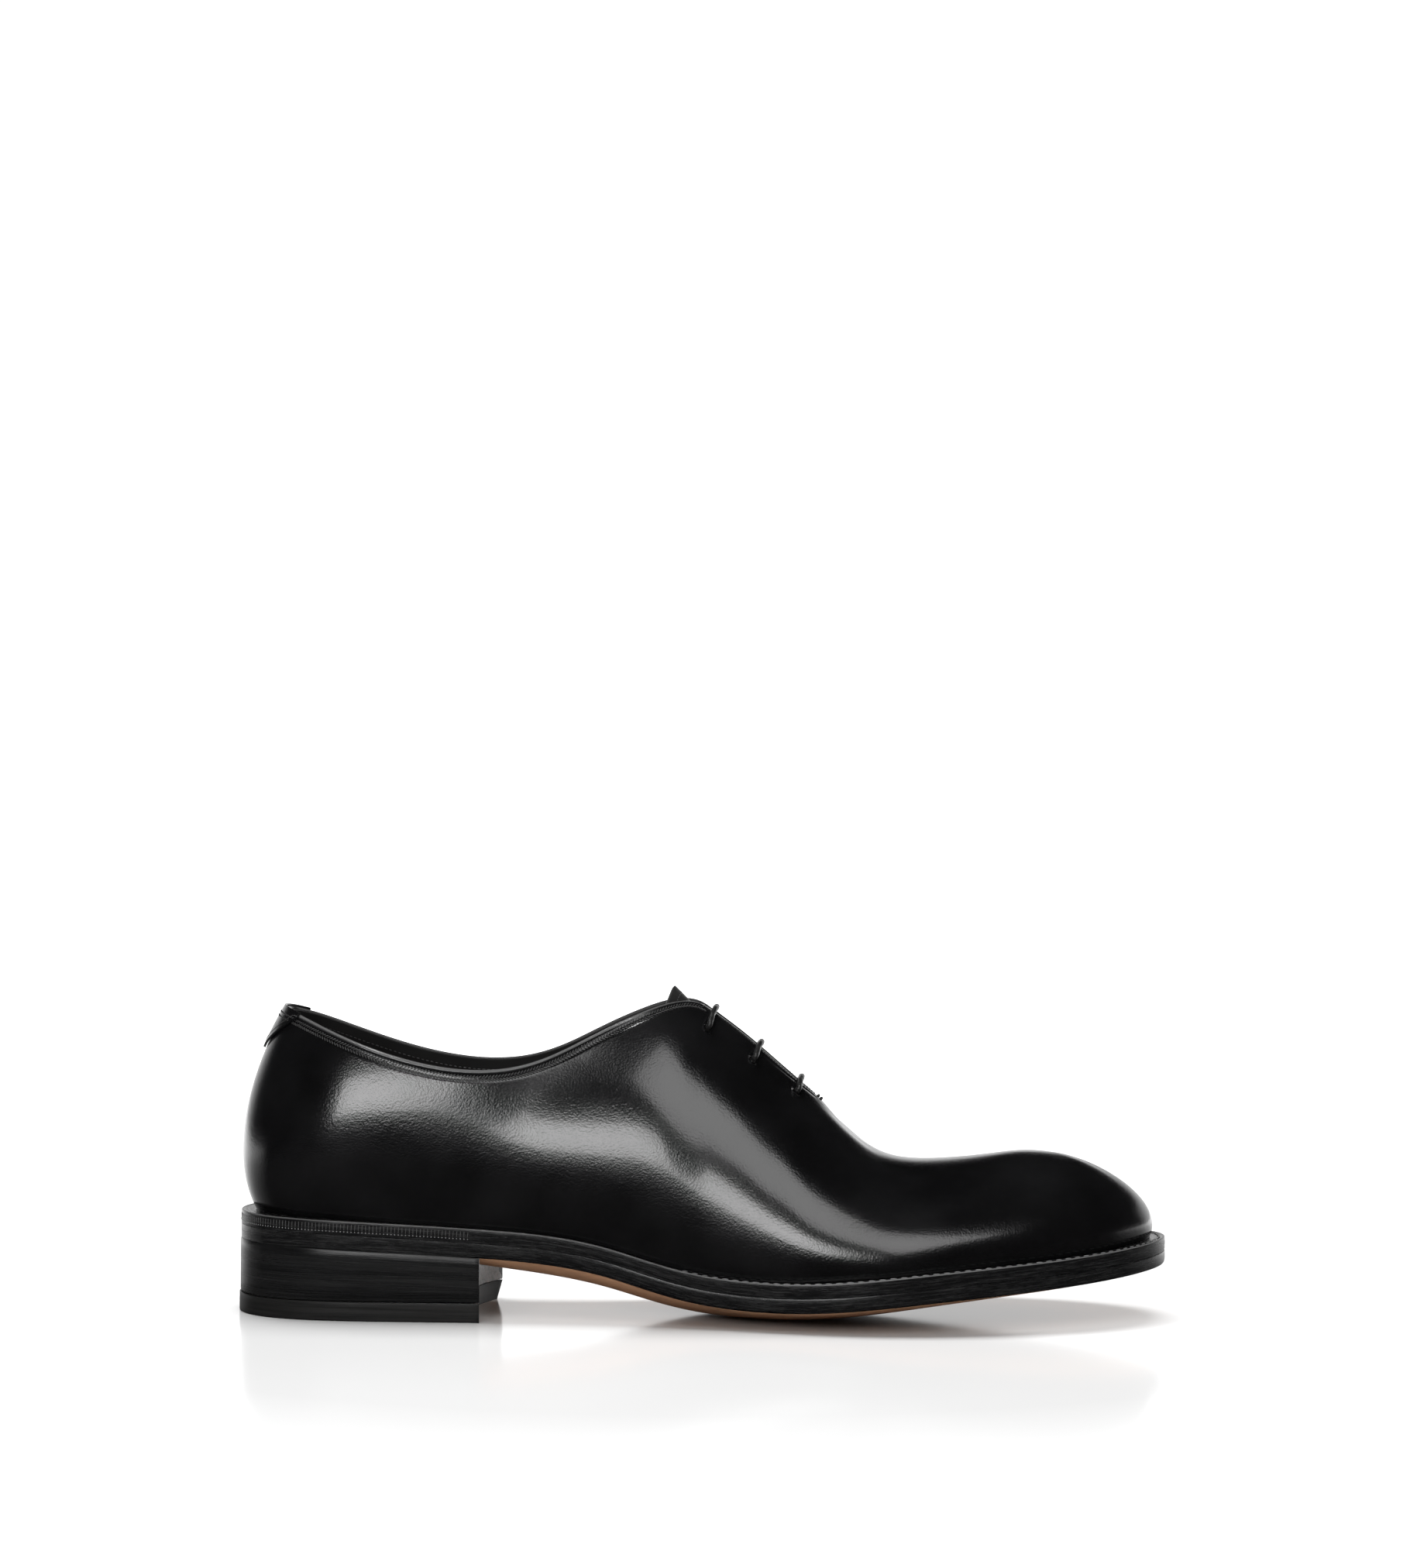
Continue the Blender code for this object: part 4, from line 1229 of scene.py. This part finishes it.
def make_outsole(look):
    """The leather sole, inked on its edge and natural underneath, with its lower lip rounded off."""
    places = np.linspace(0.0, 1.0, SOLE_STEPS)
    open_seam = seam_share(places)
    breast = place_of_breast()
    lip = soft_step(places, breast - 0.004, breast + 0.02)
    forefoot = soft_step(places, 0.42, 0.52)
    filled = FILLED_SEAM * (1.0 - soft_step(places, breast - 0.006, breast - 0.001))
    rings = (
        (0.00004 + 0.00036 * open_seam, outsole_top, 0.0, 1.0),
        (0.00012 * open_seam, outsole_top, -0.00006 * open_seam, 1.0),
        (-0.00002, outsole_top, -0.00030, 1.0), (-0.00005, outsole_top, -0.0012, 1.0),
        (-0.00005, outsole_top, -0.0022, 1.0), (0.00002 * lip, outsole_top, -0.0031, 1.0),
        (0.00016 * lip, outsole_top, -0.00365, 1.0), (0.00045 * lip, outsole_top, -0.00405, 1.0),
        (0.00001 + 0.00084 * lip, outsole_top, -0.00424 - filled, 1.0),
        (0.0012, outsole_bottom, -filled, 1.0),
        (0.0022, outsole_bottom, 0.0, forefoot), (0.0034, outsole_bottom, 0.0, 0.0),
    )
    mesh = sole_layer("leather_sole", sole_leather(look), places, rings, outsole_top, outsole_bottom, 36,
                      cap_paint=(1.0, 0.0))
    dress(crisp(new_object("leather_sole", mesh)), "sole", "outsole")


def between_heights(top, bottom, share):
    """A height function that lies at a share of the way from top to bottom."""
    return lambda x, across: top(x, across) * (1 - share) + bottom(x, across) * share


def make_heel(look):
    """The heel lifts as one block, and the top piece under them."""
    breast = place_of_breast()
    places = breast * np.linspace(0.0, 1.0, HEEL_STEPS)
    middle = [(-HEEL_FLARE, between_heights(stack_top, stack_bottom, share), 0.0, 0.0)
              for share in (0.03, 0.2, 0.4, 0.6, 0.8, 0.97)]
    rings = [(0.00002, stack_top, 0.0, 0.0), *middle, (0.0001, stack_bottom, 0.0, 0.0)]
    mesh = sole_layer("heel_lifts", heel_lifts(look), places, rings, stack_top, stack_bottom, 30, breast)
    item = new_object("heel_lifts", mesh)
    round_edges(item, 0.00010, 2, 60.0)
    dress(crisp(settle(item)), "heel", "heel_stack")

    out = -HEEL_FLARE - TOP_PIECE_PROUD
    middle = [(out, between_heights(top_piece_top, floor_level, share), 0.0, 0.0)
              for share in (0.04, 0.25, 0.5, 0.75, 0.94)]
    rings = [(out + 0.0003, top_piece_top, 0.0, 0.0), *middle, (out + 0.0003, floor_level, 0.0, 0.0)]
    mesh = sole_layer("top_piece", top_piece_rubber(look), places, rings, top_piece_top, floor_level, 30,
                      breast)
    cut_corner(mesh)
    item = new_object("top_piece", mesh)
    round_edges(item, 0.00030, 2, 50.0)
    dress(crisp(settle(item)), "top_piece", "heel_top_piece")


def cut_corner(mesh):
    """The top piece's inner front corner is cut back towards the floor."""
    for vertex in mesh.vertices:
        x, y, z = vertex.co
        share = soft_step(x, 0.026, 0.043) * (1.0 - z / TOP_PIECE_THICK) * max(0.0, y / 0.033) ** 5
        vertex.co.y -= float(CORNER_CUT * share)
        vertex.co.x -= float(0.4 * CORNER_CUT * share)


# Seams and wheeling


def stitch_tree():
    """Geometry nodes that lay small rounded stitches along lines, square to the surface under them."""
    tree = bpy.data.node_groups.new("row_of_stitches", "GeometryNodeTree")
    tree.interface.new_socket("Lines", in_out="INPUT", socket_type="NodeSocketGeometry")
    for name, kind, value in (("Pitch", "Float", 0.002), ("Size", "Vector", (0.001, 0.0004, 0.0003)),
                              ("Slant", "Float", 0.0), ("Unevenness", "Float", 0.08), ("Seed", "Int", 1)):
        socket = tree.interface.new_socket(name, in_out="INPUT", socket_type=f"NodeSocket{kind}")
        socket.default_value = value
    tree.interface.new_socket("Thread", in_out="INPUT", socket_type="NodeSocketMaterial")
    tree.interface.new_socket("Stitches", in_out="OUTPUT", socket_type="NodeSocketGeometry")
    add = Nodes(tree).add

    given = add("NodeGroupInput").outputs
    curve = add("GeometryNodeMeshToCurve", {"Mesh": given["Lines"]}).outputs["Curve"]
    spaced = add("GeometryNodeResampleCurve", {"Curve": curve, "Length": given["Pitch"]}, mode="LENGTH")

    up = add("GeometryNodeInputNamedAttribute", {"Name": "up"}, data_type="FLOAT_VECTOR").outputs["Attribute"]
    along = add("GeometryNodeInputTangent").outputs["Tangent"]
    stand = add("FunctionNodeAxesToRotation", {"Primary Axis": up, "Secondary Axis": along},
                primary_axis="Z", secondary_axis="X").outputs["Rotation"]
    least = add("ShaderNodeMath", {0: given["Unevenness"], 1: -1.0}, operation="MULTIPLY").outputs[0]
    chance = add("FunctionNodeRandomValue", data_type="FLOAT")
    low, high = (socket for socket in chance.inputs if socket.type == "VALUE" and socket.enabled)
    tree.links.new(least, low)
    tree.links.new(given["Unevenness"], high)
    tree.links.new(given["Seed"], chance.inputs["Seed"])
    wobble = next(socket for socket in chance.outputs if socket.type == "VALUE")
    turn = add("ShaderNodeMath", {0: given["Slant"], 1: wobble}).outputs[0]
    angles = add("ShaderNodeCombineXYZ", {"Z": turn}).outputs["Vector"]
    twist = add("FunctionNodeEulerToRotation", {"Euler": angles}).outputs["Rotation"]
    turned = add("FunctionNodeRotateRotation", {"Rotation": stand, "Rotate By": twist},
                 rotation_space="LOCAL").outputs["Rotation"]

    ball = add("GeometryNodeMeshUVSphere", {"Segments": 8, "Rings": 5, "Radius": 0.5}).outputs["Mesh"]
    lying = add("GeometryNodeTransform", {"Geometry": ball, "Rotation": Euler((0.0, math.pi / 2, 0.0))})
    stitch = add("GeometryNodeTransform", {"Geometry": lying.outputs["Geometry"], "Scale": given["Size"]})
    size = add("ShaderNodeMath", {0: 1.0, 1: wobble}).outputs[0]
    spots = add("GeometryNodeInstanceOnPoints",
                {"Points": spaced.outputs["Curve"], "Instance": stitch.outputs["Geometry"],
                 "Rotation": turned, "Scale": size}).outputs["Instances"]
    real = add("GeometryNodeRealizeInstances", {"Geometry": spots}).outputs["Geometry"]
    smooth = add("GeometryNodeSetShadeSmooth", {"Geometry": real}).outputs["Geometry"]
    sewn = add("GeometryNodeSetMaterial", {"Geometry": smooth, "Material": given["Thread"]})
    add("NodeGroupOutput", {"Stitches": sewn.outputs["Geometry"]})
    return tree


def lines_mesh(name, lines):
    """A mesh of open lines. Each line: points and the directions that face away from the surface."""
    points, edges, ups = [], [], []
    for line, up in lines:
        first = len(points)
        points += line.tolist()
        ups += up.tolist()
        edges += [(first + i, first + i + 1) for i in range(len(line) - 1)]
    mesh = bpy.data.meshes.new(name)
    mesh.from_pydata(points, edges, [])
    attribute = mesh.attributes.new("up", "FLOAT_VECTOR", "POINT")
    attribute.data.foreach_set("vector", np.array(ups, np.float32).ravel())
    return mesh


def sew(name, lines, slot, material, pitch, size, slant=0.0, unevenness=0.06, seed=1):
    """Lay stitches along the lines with geometry nodes, then keep them as one plain mesh."""
    if "row_of_stitches" not in bpy.data.node_groups:
        stitch_tree()
    tree = bpy.data.node_groups["row_of_stitches"]
    item = new_object(name, lines_mesh(name, lines))
    rows = item.modifiers.new("stitches", "NODES")
    rows.node_group = tree
    values = {"Pitch": pitch, "Size": size, "Slant": slant, "Unevenness": unevenness, "Seed": seed,
              "Thread": material}
    for socket in tree.interface.items_tree:
        if socket.in_out == "INPUT" and socket.name in values:
            rows[socket.identifier] = values[socket.name]
    settle(item)
    if not item.data.polygons:
        raise RuntimeError(f"no stitches were laid for {name}")
    return dress(item, slot)


def down_line(side, places, down, lift):
    """A line that keeps its distance from the top edge, and the directions out of the upper."""
    level, _rows = levels_down(side, places, lambda total: np.full((len(total), 1), down))
    point, normal = upper_skin(side, places, level)
    return point[:, 0] + normal[:, 0] * lift, normal[:, 0]


def seam_line(side, row, lift):
    """A whole seam. Its row holds its first and last place and how far down it lies."""
    first, last, down = row
    return down_line(side, np.linspace(first, last, 160), down, lift)


def make_seams(look, seams):
    """The seams of the collar, facings, back, tab, lining and tongue, and the throat's bar tack."""
    # The seams' thread carries a painted sheen: its grey is lighter than the black thread.
    yarn = thread(look)
    size = (seams.length, seams.width, STITCH_HEIGHT)
    for i, (name, *row) in enumerate(COLLAR_ROWS):
        slant = seams.slant if i == 0 else -seams.slant
        for side, place, turn in ((OUTER, "outer", slant), (INNER, "inner", -slant)):
            line = seam_line(side, row, 0.00002)
            sew(f"seam_{name}_{place}", [line], "cord", yarn, seams.pitch, size, turn, seed=seams.seed + i)
    lines = [seam_line(side, FACING_ROW, -0.00004) for side in (OUTER, INNER)]
    sew("seam_facing", lines, "cord", yarn, seams.pitch, FACING_STITCH, seed=seams.seed + 5)

    levels = np.linspace(tab_reach()[1] - 0.01, 0.04, 90)
    line = off_upper(OUTER, np.zeros(90), levels, 0.00006)
    sew("seam_back", [line], "cord", yarn, 0.0009, BACK_STITCH, seed=seams.seed + 11)

    widest = tab_reach()[0]
    lift = SEAT_GAP + TAB_THICK + 0.00002
    across = np.linspace(0.0, 0.97, 60)
    foot = np.minimum([tab_foot(share) + 0.030 for share in across], 0.985)
    lines = [off_upper(side, across * widest, foot, lift) for side in (OUTER, INNER)]
    sew("seam_tab_edge", lines, "cord", yarn, seams.pitch, TAB_STITCH, seed=seams.seed + 12)
    lines = [down_line(side, np.linspace(0.0, widest * reach, 30), down, lift)
             for down, reach in ((0.0022, 0.90), (0.0036, 0.78)) for side in (OUTER, INNER)]
    sew("seam_tab_top", lines, "cord", yarn, seams.pitch, TAB_STITCH, seams.slant, seed=seams.seed + 13)

    inside = -(CALF_THICK + LINING_THICK + 0.00036)
    lines = [seam_line(side, LINING_ROW, inside) for side in (OUTER, INNER)]
    lines = [(line, -up) for line, up in lines]
    sew("seam_lining", lines, "lining", thread(look, 0.06), 0.0016, LINING_STITCH, seed=seams.seed + 14)

    rows = tongue_rows()
    hem = rows[-4, 16:-16]
    facing = unit(np.cross(np.gradient(hem, axis=0), hem - rows[-6, 16:-16]))
    facing *= np.sign(facing[:, 2:3])
    lines = [(hem + facing * 0.00002, facing)]
    sew("seam_tongue", lines, "lining", yarn, 0.0015, TONGUE_STITCH, seed=seams.seed + 15)

    ridge = np.linspace(THROAT_END - 0.0012, THROAT_END + 0.0008, 8)
    line = top_line(OUTER, ridge) * np.array([1.0, 0.0, 1.0])
    slope = unit(np.gradient(line, axis=0))
    up = np.column_stack([-slope[:, 2], np.zeros(8), slope[:, 0]])
    sew("bar_tack", [(line + up * 0.0002, up)], "cord", thread(look, 0.03), 0.0012, BAR_TACK_STITCH,
        seed=seams.seed + 16)


def make_welt_stitches(look, seams):
    """The stitches that show on top of the welt from the waist to the toe."""
    places = np.linspace(0.49, 1.0, 260)
    lines = []
    for side in (OUTER, INNER):
        line, _across = edge_point(side, places, 0.00195, welt_top, 0.00002)
        lines.append((line, np.tile([0.0, 0.0, 1.0], (len(line), 1))))
    # Grey 0.20 is a painted highlight: the black waxed thread made pale where light would catch it.
    sew("welt_stitches", lines, "edge", thread(look, 0.20), seams.welt_pitch, WELT_STITCH,
        math.radians(4.0), seed=seams.seed + 21)


def make_wheeling(look, seams):
    """The upright marks and the dots under them that a hot wheel leaves round the heel."""
    places = np.linspace(0.0, 0.337, 120)
    for name, inset, drop, size, tone, number in (("marks", 0.00002, -0.0019, WHEELED_MARK, 0.07, 22),
                                                  ("dots", -0.00004, -0.00325, WHEELED_DOT, 0.30, 23)):
        lines = []
        for side in (OUTER, INNER):
            line, _across = edge_point(side, places, inset, welt_top, drop)
            lines.append((line, np.column_stack([outward(side, places), np.zeros(len(places))])))
        sew(f"wheeled_{name}", lines, "edge", thread(look, tone), seams.wheel_pitch, size,
            unevenness=0.04, seed=seams.seed + number)


# Lace


def lace_path():
    """The lace's points, the directions away from the shoe, and its widths and thicknesses."""
    lift = LACE_DIAMETER / 2 + SEAT_GAP
    round_size, flat_size = (LACE_DIAMETER, LACE_DIAMETER), (0.0024, 0.0009)
    depths = np.array([-0.0026, -0.0012, 0.0003])
    bars = {name: (hole, cross) for name, hole, cross in LACE_BARS}
    pieces = []

    def add(line, size, back=False):
        point, up = (column[::-1] for column in line) if back else line
        pieces.append((point, up, np.tile(size, (len(point), 1))))

    def cross_over(name, start):
        """Up through one eyelet, straight over the throat, and down through the other."""
        hole, cross = bars[name]
        share = np.linspace(0.0, 1.0, 7)
        level = EYELET_LEVEL + (0.985 - EYELET_LEVEL) * share
        add(off_upper(start, hole, np.full(3, EYELET_LEVEL), depths), round_size)
        add(off_upper(start, hole + (cross - hole) * share, level, lift), round_size)
        add(off_upper(-start, hole + (cross - hole) * share, level, lift), round_size, back=True)
        add(off_upper(-start, hole, np.full(3, EYELET_LEVEL), depths), round_size, back=True)

    def hide(first, last, side, level):
        """Flattened behind a facing, from one eyelet towards the next."""
        add(off_upper(side, np.linspace(first, last, 6), level, depths[0]), flat_size)

    top, middle, bottom = (bars[name][0] for name in ("top", "middle", "bottom"))
    cross_over("top", OUTER)
    hide(top + 0.004, bottom - 0.004, INNER, EYELET_LEVEL - 0.02)
    cross_over("bottom", INNER)
    hide(bottom - 0.004, middle + 0.004, OUTER, EYELET_LEVEL)
    cross_over("middle", OUTER)
    hide(middle - 0.004, top + 0.003, INNER, EYELET_LEVEL + 0.03)
    return [np.concatenate(column) for column in zip(*pieces)]


def smooth_path(columns, step):
    """Round off a path of points and resample it at even steps."""
    run = run_along(columns[0])
    at = np.linspace(0.0, run[-1], int(run[-1] / step) + 1)
    made = [np.column_stack([np.interp(at, run, values) for values in column.T]) for column in columns]
    for _pass in range(3):
        for column in made:
            column[1:-1] = (column[:-2] + 2 * column[1:-1] + column[2:]) / 4
    return at, made


def make_lace(look):
    """One waxed cord, faintly twisted, along the lace's path."""
    at, (point, up, size) = smooth_path(lace_path(), 0.0004)
    run = unit(np.gradient(point, axis=0))
    aside = unit(np.cross(run, up))
    above = np.cross(aside, run)
    sides = 20
    angle = np.linspace(0.0, 2 * np.pi, sides + 1)
    twist = 2 * np.pi * at / 0.0085
    groove = 1.0 - 0.05 * (1.0 + np.cos(2 * (angle[None, :] - twist[:, None])))
    wide = np.cos(angle)[None, :] * groove * size[:, :1] / 2
    high = np.sin(angle)[None, :] * groove * size[:, 1:] / 2
    rows = point[:, None] + aside[:, None] * wide[..., None] + above[:, None] * high[..., None]
    shell = Shell()
    shell.grid(rows, at[:, None], (angle * LACE_DIAMETER / 2)[None, :])
    for end, flip in ((0, False), (-1, True)):
        centre = np.tile(point[end], (sides + 1, 1))
        shell.grid(np.stack([rows[end], centre]), at[end], 0.0, flip=flip)
    item = new_object("waxed_lace", shell.mesh("waxed_lace", waxed_cord(look), turn_out=True))
    dress(item, "cord", *(f"lace_bar_{name}" for name, _hole, _cross in LACE_BARS))


# Floor, lights and camera


def make_camera(stage):
    """The camera looks at the outer side, a hair turned, lowered and rolled."""
    turn = math.radians(CAMERA_TURN)
    sight = Vector((-math.sin(turn), math.cos(turn), 0.0))
    camera = bpy.data.cameras.new("camera")
    camera.lens, camera.sensor_width = stage.focal_length, 36.0
    camera.clip_start, camera.clip_end = 0.05, 60.0
    eye = new_object("camera", camera)
    up = Vector((0.0, 0.0, 1.0))
    eye.location = Vector(CAMERA_PIVOT) - sight * stage.camera_distance + up * stage.camera_height
    aim = (sight - up * CAMERA_DROP).to_track_quat("-Z", "Y")
    eye.rotation_mode = "QUATERNION"
    eye.rotation_quaternion = aim @ Euler((0.0, 0.0, math.radians(CAMERA_ROLL))).to_quaternion()
    bpy.context.scene.camera = eye


def make_floor(stage):
    """A glossy floor that glows far from the shoe, and is dark to reflections in front of it.

    It is one open face, which is never seen from below.
    """
    reach = 12.0
    mesh = bpy.data.meshes.new("floor")
    mesh.from_pydata([(-reach, -reach, 0), (reach, -reach, 0), (reach, reach, 0), (-reach, reach, 0)],
                     [], [(0, 1, 2, 3)])
    floor = new_object("floor", mesh)
    made = Finish("floor_paint", {"Emission Color": colour(stage.floor_colour)})
    glossy = made.add("ShaderNodeLightPath").outputs["Is Glossy Ray"]
    depth = made.add("ShaderNodeSeparateXYZ", {"Vector": made.place}).outputs["Y"]
    shade = made.times(glossy, made.between(depth, 1.0, 0.0, -0.02, 0.35))
    away = made.add("ShaderNodeVectorMath", {0: made.place, 1: (0.11, 0.0, 0.0)}, operation="DISTANCE")
    far = made.between(away.outputs["Value"], 0.0, 1.0, 0.22, 0.8)
    rough = made.between(made.noise(3.0, 2.0), 0.10, 0.13)
    mesh.materials.append(made.done(made.mix(shade, colour(stage.floor_colour), grey(0.01)), rough))
    made.fill(made.shader, {"Emission Strength": made.times(far, made.between(shade, 1.0, 0.0)),
                            "Specular IOR Level": made.between(shade, 0.35, 0.0)})


def make_world():
    """White for the camera. The shoe mirrors only a low band behind it, as in a dark studio."""
    world = bpy.data.worlds.new("studio")
    world.use_nodes = True
    bpy.context.scene.world = world
    made = Nodes(world.node_tree)
    ray = made.add("ShaderNodeLightPath").outputs
    direction = made.add("ShaderNodeTexCoord").outputs["Generated"]
    toward = made.add("ShaderNodeSeparateXYZ", {"Vector": direction}).outputs
    behind = made.between(toward["Y"], 0.0, 1.0, 0.45, 0.85, "SMOOTHSTEP")
    height = made.sum(toward["Z"], 0.0, "ABSOLUTE")
    low = made.between(height, 0.0, 1.0, 0.34, 0.22, "SMOOTHSTEP")
    seen = made.blend(ray["Is Glossy Ray"], 0.14, made.times(behind, low))
    background = world.node_tree.nodes["Background"]
    made.fill(background, {"Color": grey(1.0), "Strength": made.blend(ray["Is Camera Ray"], seen, 1.05)})


def make_stage(stage):
    """The camera, the floor, the surround and the lights."""
    make_camera(stage)
    make_floor(stage)
    make_world()
    for name, place, aim, size, watts, roll, mirrored in LIGHTS:
        light = bpy.data.lights.new(name, "AREA")
        light.shape = "RECTANGLE"
        light.size, light.size_y = size
        light.energy = watts * stage.light_power
        item = new_object(name, light)
        item.location = place
        turn = (Vector(aim) - Vector(place)).to_track_quat("-Z", "Y")
        item.rotation_euler = (turn @ Euler((0.0, 0.0, math.radians(roll))).to_quaternion()).to_euler()
        item.visible_glossy = mirrored
    bpy.context.scene.view_settings.view_transform = "Standard"


# Operators, one for each piece or group


class OXFORD_OT_upper(bpy.types.Operator):
    """Make the calf upper with its punched eyelets."""

    bl_idname = "oxford.upper"
    bl_label = "Calf upper"

    def execute(self, context):
        make_upper(context.scene.oxford_leather)
        return {"FINISHED"}


class OXFORD_OT_lining(bpy.types.Operator):
    """Make the lining and give the insole its sock leather."""

    bl_idname = "oxford.lining"
    bl_label = "Lining and sock"

    def execute(self, context):
        look = context.scene.oxford_leather
        make_lining(look)
        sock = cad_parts["insole"]
        sock.data.materials.clear()
        sock.data.materials.append(sock_leather(look))
        return {"FINISHED"}


class OXFORD_OT_tongue(bpy.types.Operator):
    """Make the tongue under the facings."""

    bl_idname = "oxford.tongue"
    bl_label = "Tongue"

    def execute(self, context):
        make_tongue(context.scene.oxford_leather)
        return {"FINISHED"}


class OXFORD_OT_heel_tab(bpy.types.Operator):
    """Make the pointed tab over the top of the back seam."""

    bl_idname = "oxford.heel_tab"
    bl_label = "Heel tab"

    def execute(self, context):
        make_heel_tab(context.scene.oxford_leather)
        return {"FINISHED"}


class OXFORD_OT_sole(bpy.types.Operator):
    """Make the welt and the leather sole."""

    bl_idname = "oxford.sole"
    bl_label = "Welt and sole"

    def execute(self, context):
        look = context.scene.oxford_leather
        make_welt(look)
        make_outsole(look)
        return {"FINISHED"}


class OXFORD_OT_heel(bpy.types.Operator):
    """Make the heel lifts and the top piece."""

    bl_idname = "oxford.heel"
    bl_label = "Heel"

    def execute(self, context):
        make_heel(context.scene.oxford_leather)
        return {"FINISHED"}


class OXFORD_OT_seams(bpy.types.Operator):
    """Sew the seams of the upper, tab, tongue and lining."""

    bl_idname = "oxford.seams"
    bl_label = "Seams"

    def execute(self, context):
        make_seams(context.scene.oxford_leather, context.scene.oxford_seams)
        return {"FINISHED"}


class OXFORD_OT_welt_work(bpy.types.Operator):
    """Sew the welt and wheel its edge round the heel."""

    bl_idname = "oxford.welt_work"
    bl_label = "Welt stitches and wheeling"

    def execute(self, context):
        make_welt_stitches(context.scene.oxford_leather, context.scene.oxford_seams)
        make_wheeling(context.scene.oxford_leather, context.scene.oxford_seams)
        return {"FINISHED"}


class OXFORD_OT_lace(bpy.types.Operator):
    """Run the lace through the eyelets."""

    bl_idname = "oxford.lace"
    bl_label = "Lace"

    def execute(self, context):
        make_lace(context.scene.oxford_leather)
        return {"FINISHED"}


class OXFORD_OT_stage(bpy.types.Operator):
    """Set up the floor, the lights and the camera."""

    bl_idname = "oxford.stage"
    bl_label = "Stage"

    def execute(self, context):
        make_stage(context.scene.oxford_stage)
        return {"FINISHED"}


OPERATORS = (OXFORD_OT_upper, OXFORD_OT_lining, OXFORD_OT_tongue, OXFORD_OT_heel_tab, OXFORD_OT_sole,
             OXFORD_OT_heel, OXFORD_OT_seams, OXFORD_OT_welt_work, OXFORD_OT_lace, OXFORD_OT_stage)


class OXFORD_PT_shoe(bpy.types.Panel):
    """Lists the pieces of the oxford with their sizes and colours."""

    bl_idname = "OXFORD_PT_shoe"
    bl_label = "Whole cut oxford"
    bl_space_type = "VIEW_3D"
    bl_region_type = "UI"
    bl_category = "Oxford"

    def draw(self, context):
        for group in ("oxford_leather", "oxford_seams", "oxford_stage"):
            settings = getattr(context.scene, group)
            box = self.layout.box()
            for name in settings.__annotations__:
                box.prop(settings, name)
        for operator in OPERATORS:
            self.layout.operator(operator.bl_idname)


CLASSES = (OXFORD_PG_leather, OXFORD_PG_seams, OXFORD_PG_stage, *OPERATORS, OXFORD_PT_shoe)


def register():
    """Add the sizes, colours, operators and the panel."""
    for item in CLASSES:
        bpy.utils.register_class(item)
    bpy.types.Scene.oxford_leather = PointerProperty(type=OXFORD_PG_leather)
    bpy.types.Scene.oxford_seams = PointerProperty(type=OXFORD_PG_seams)
    bpy.types.Scene.oxford_stage = PointerProperty(type=OXFORD_PG_stage)


def unregister():
    """Take them away again."""
    del bpy.types.Scene.oxford_stage
    del bpy.types.Scene.oxford_seams
    del bpy.types.Scene.oxford_leather
    for item in reversed(CLASSES):
        bpy.utils.unregister_class(item)


def main():
    """Register the add-on, then make every piece and the stage."""
    register()
    for operator in OPERATORS:
        category, name = operator.bl_idname.split(".")
        getattr(getattr(bpy.ops, category), name)()


if __name__ == "__main__":
    main()
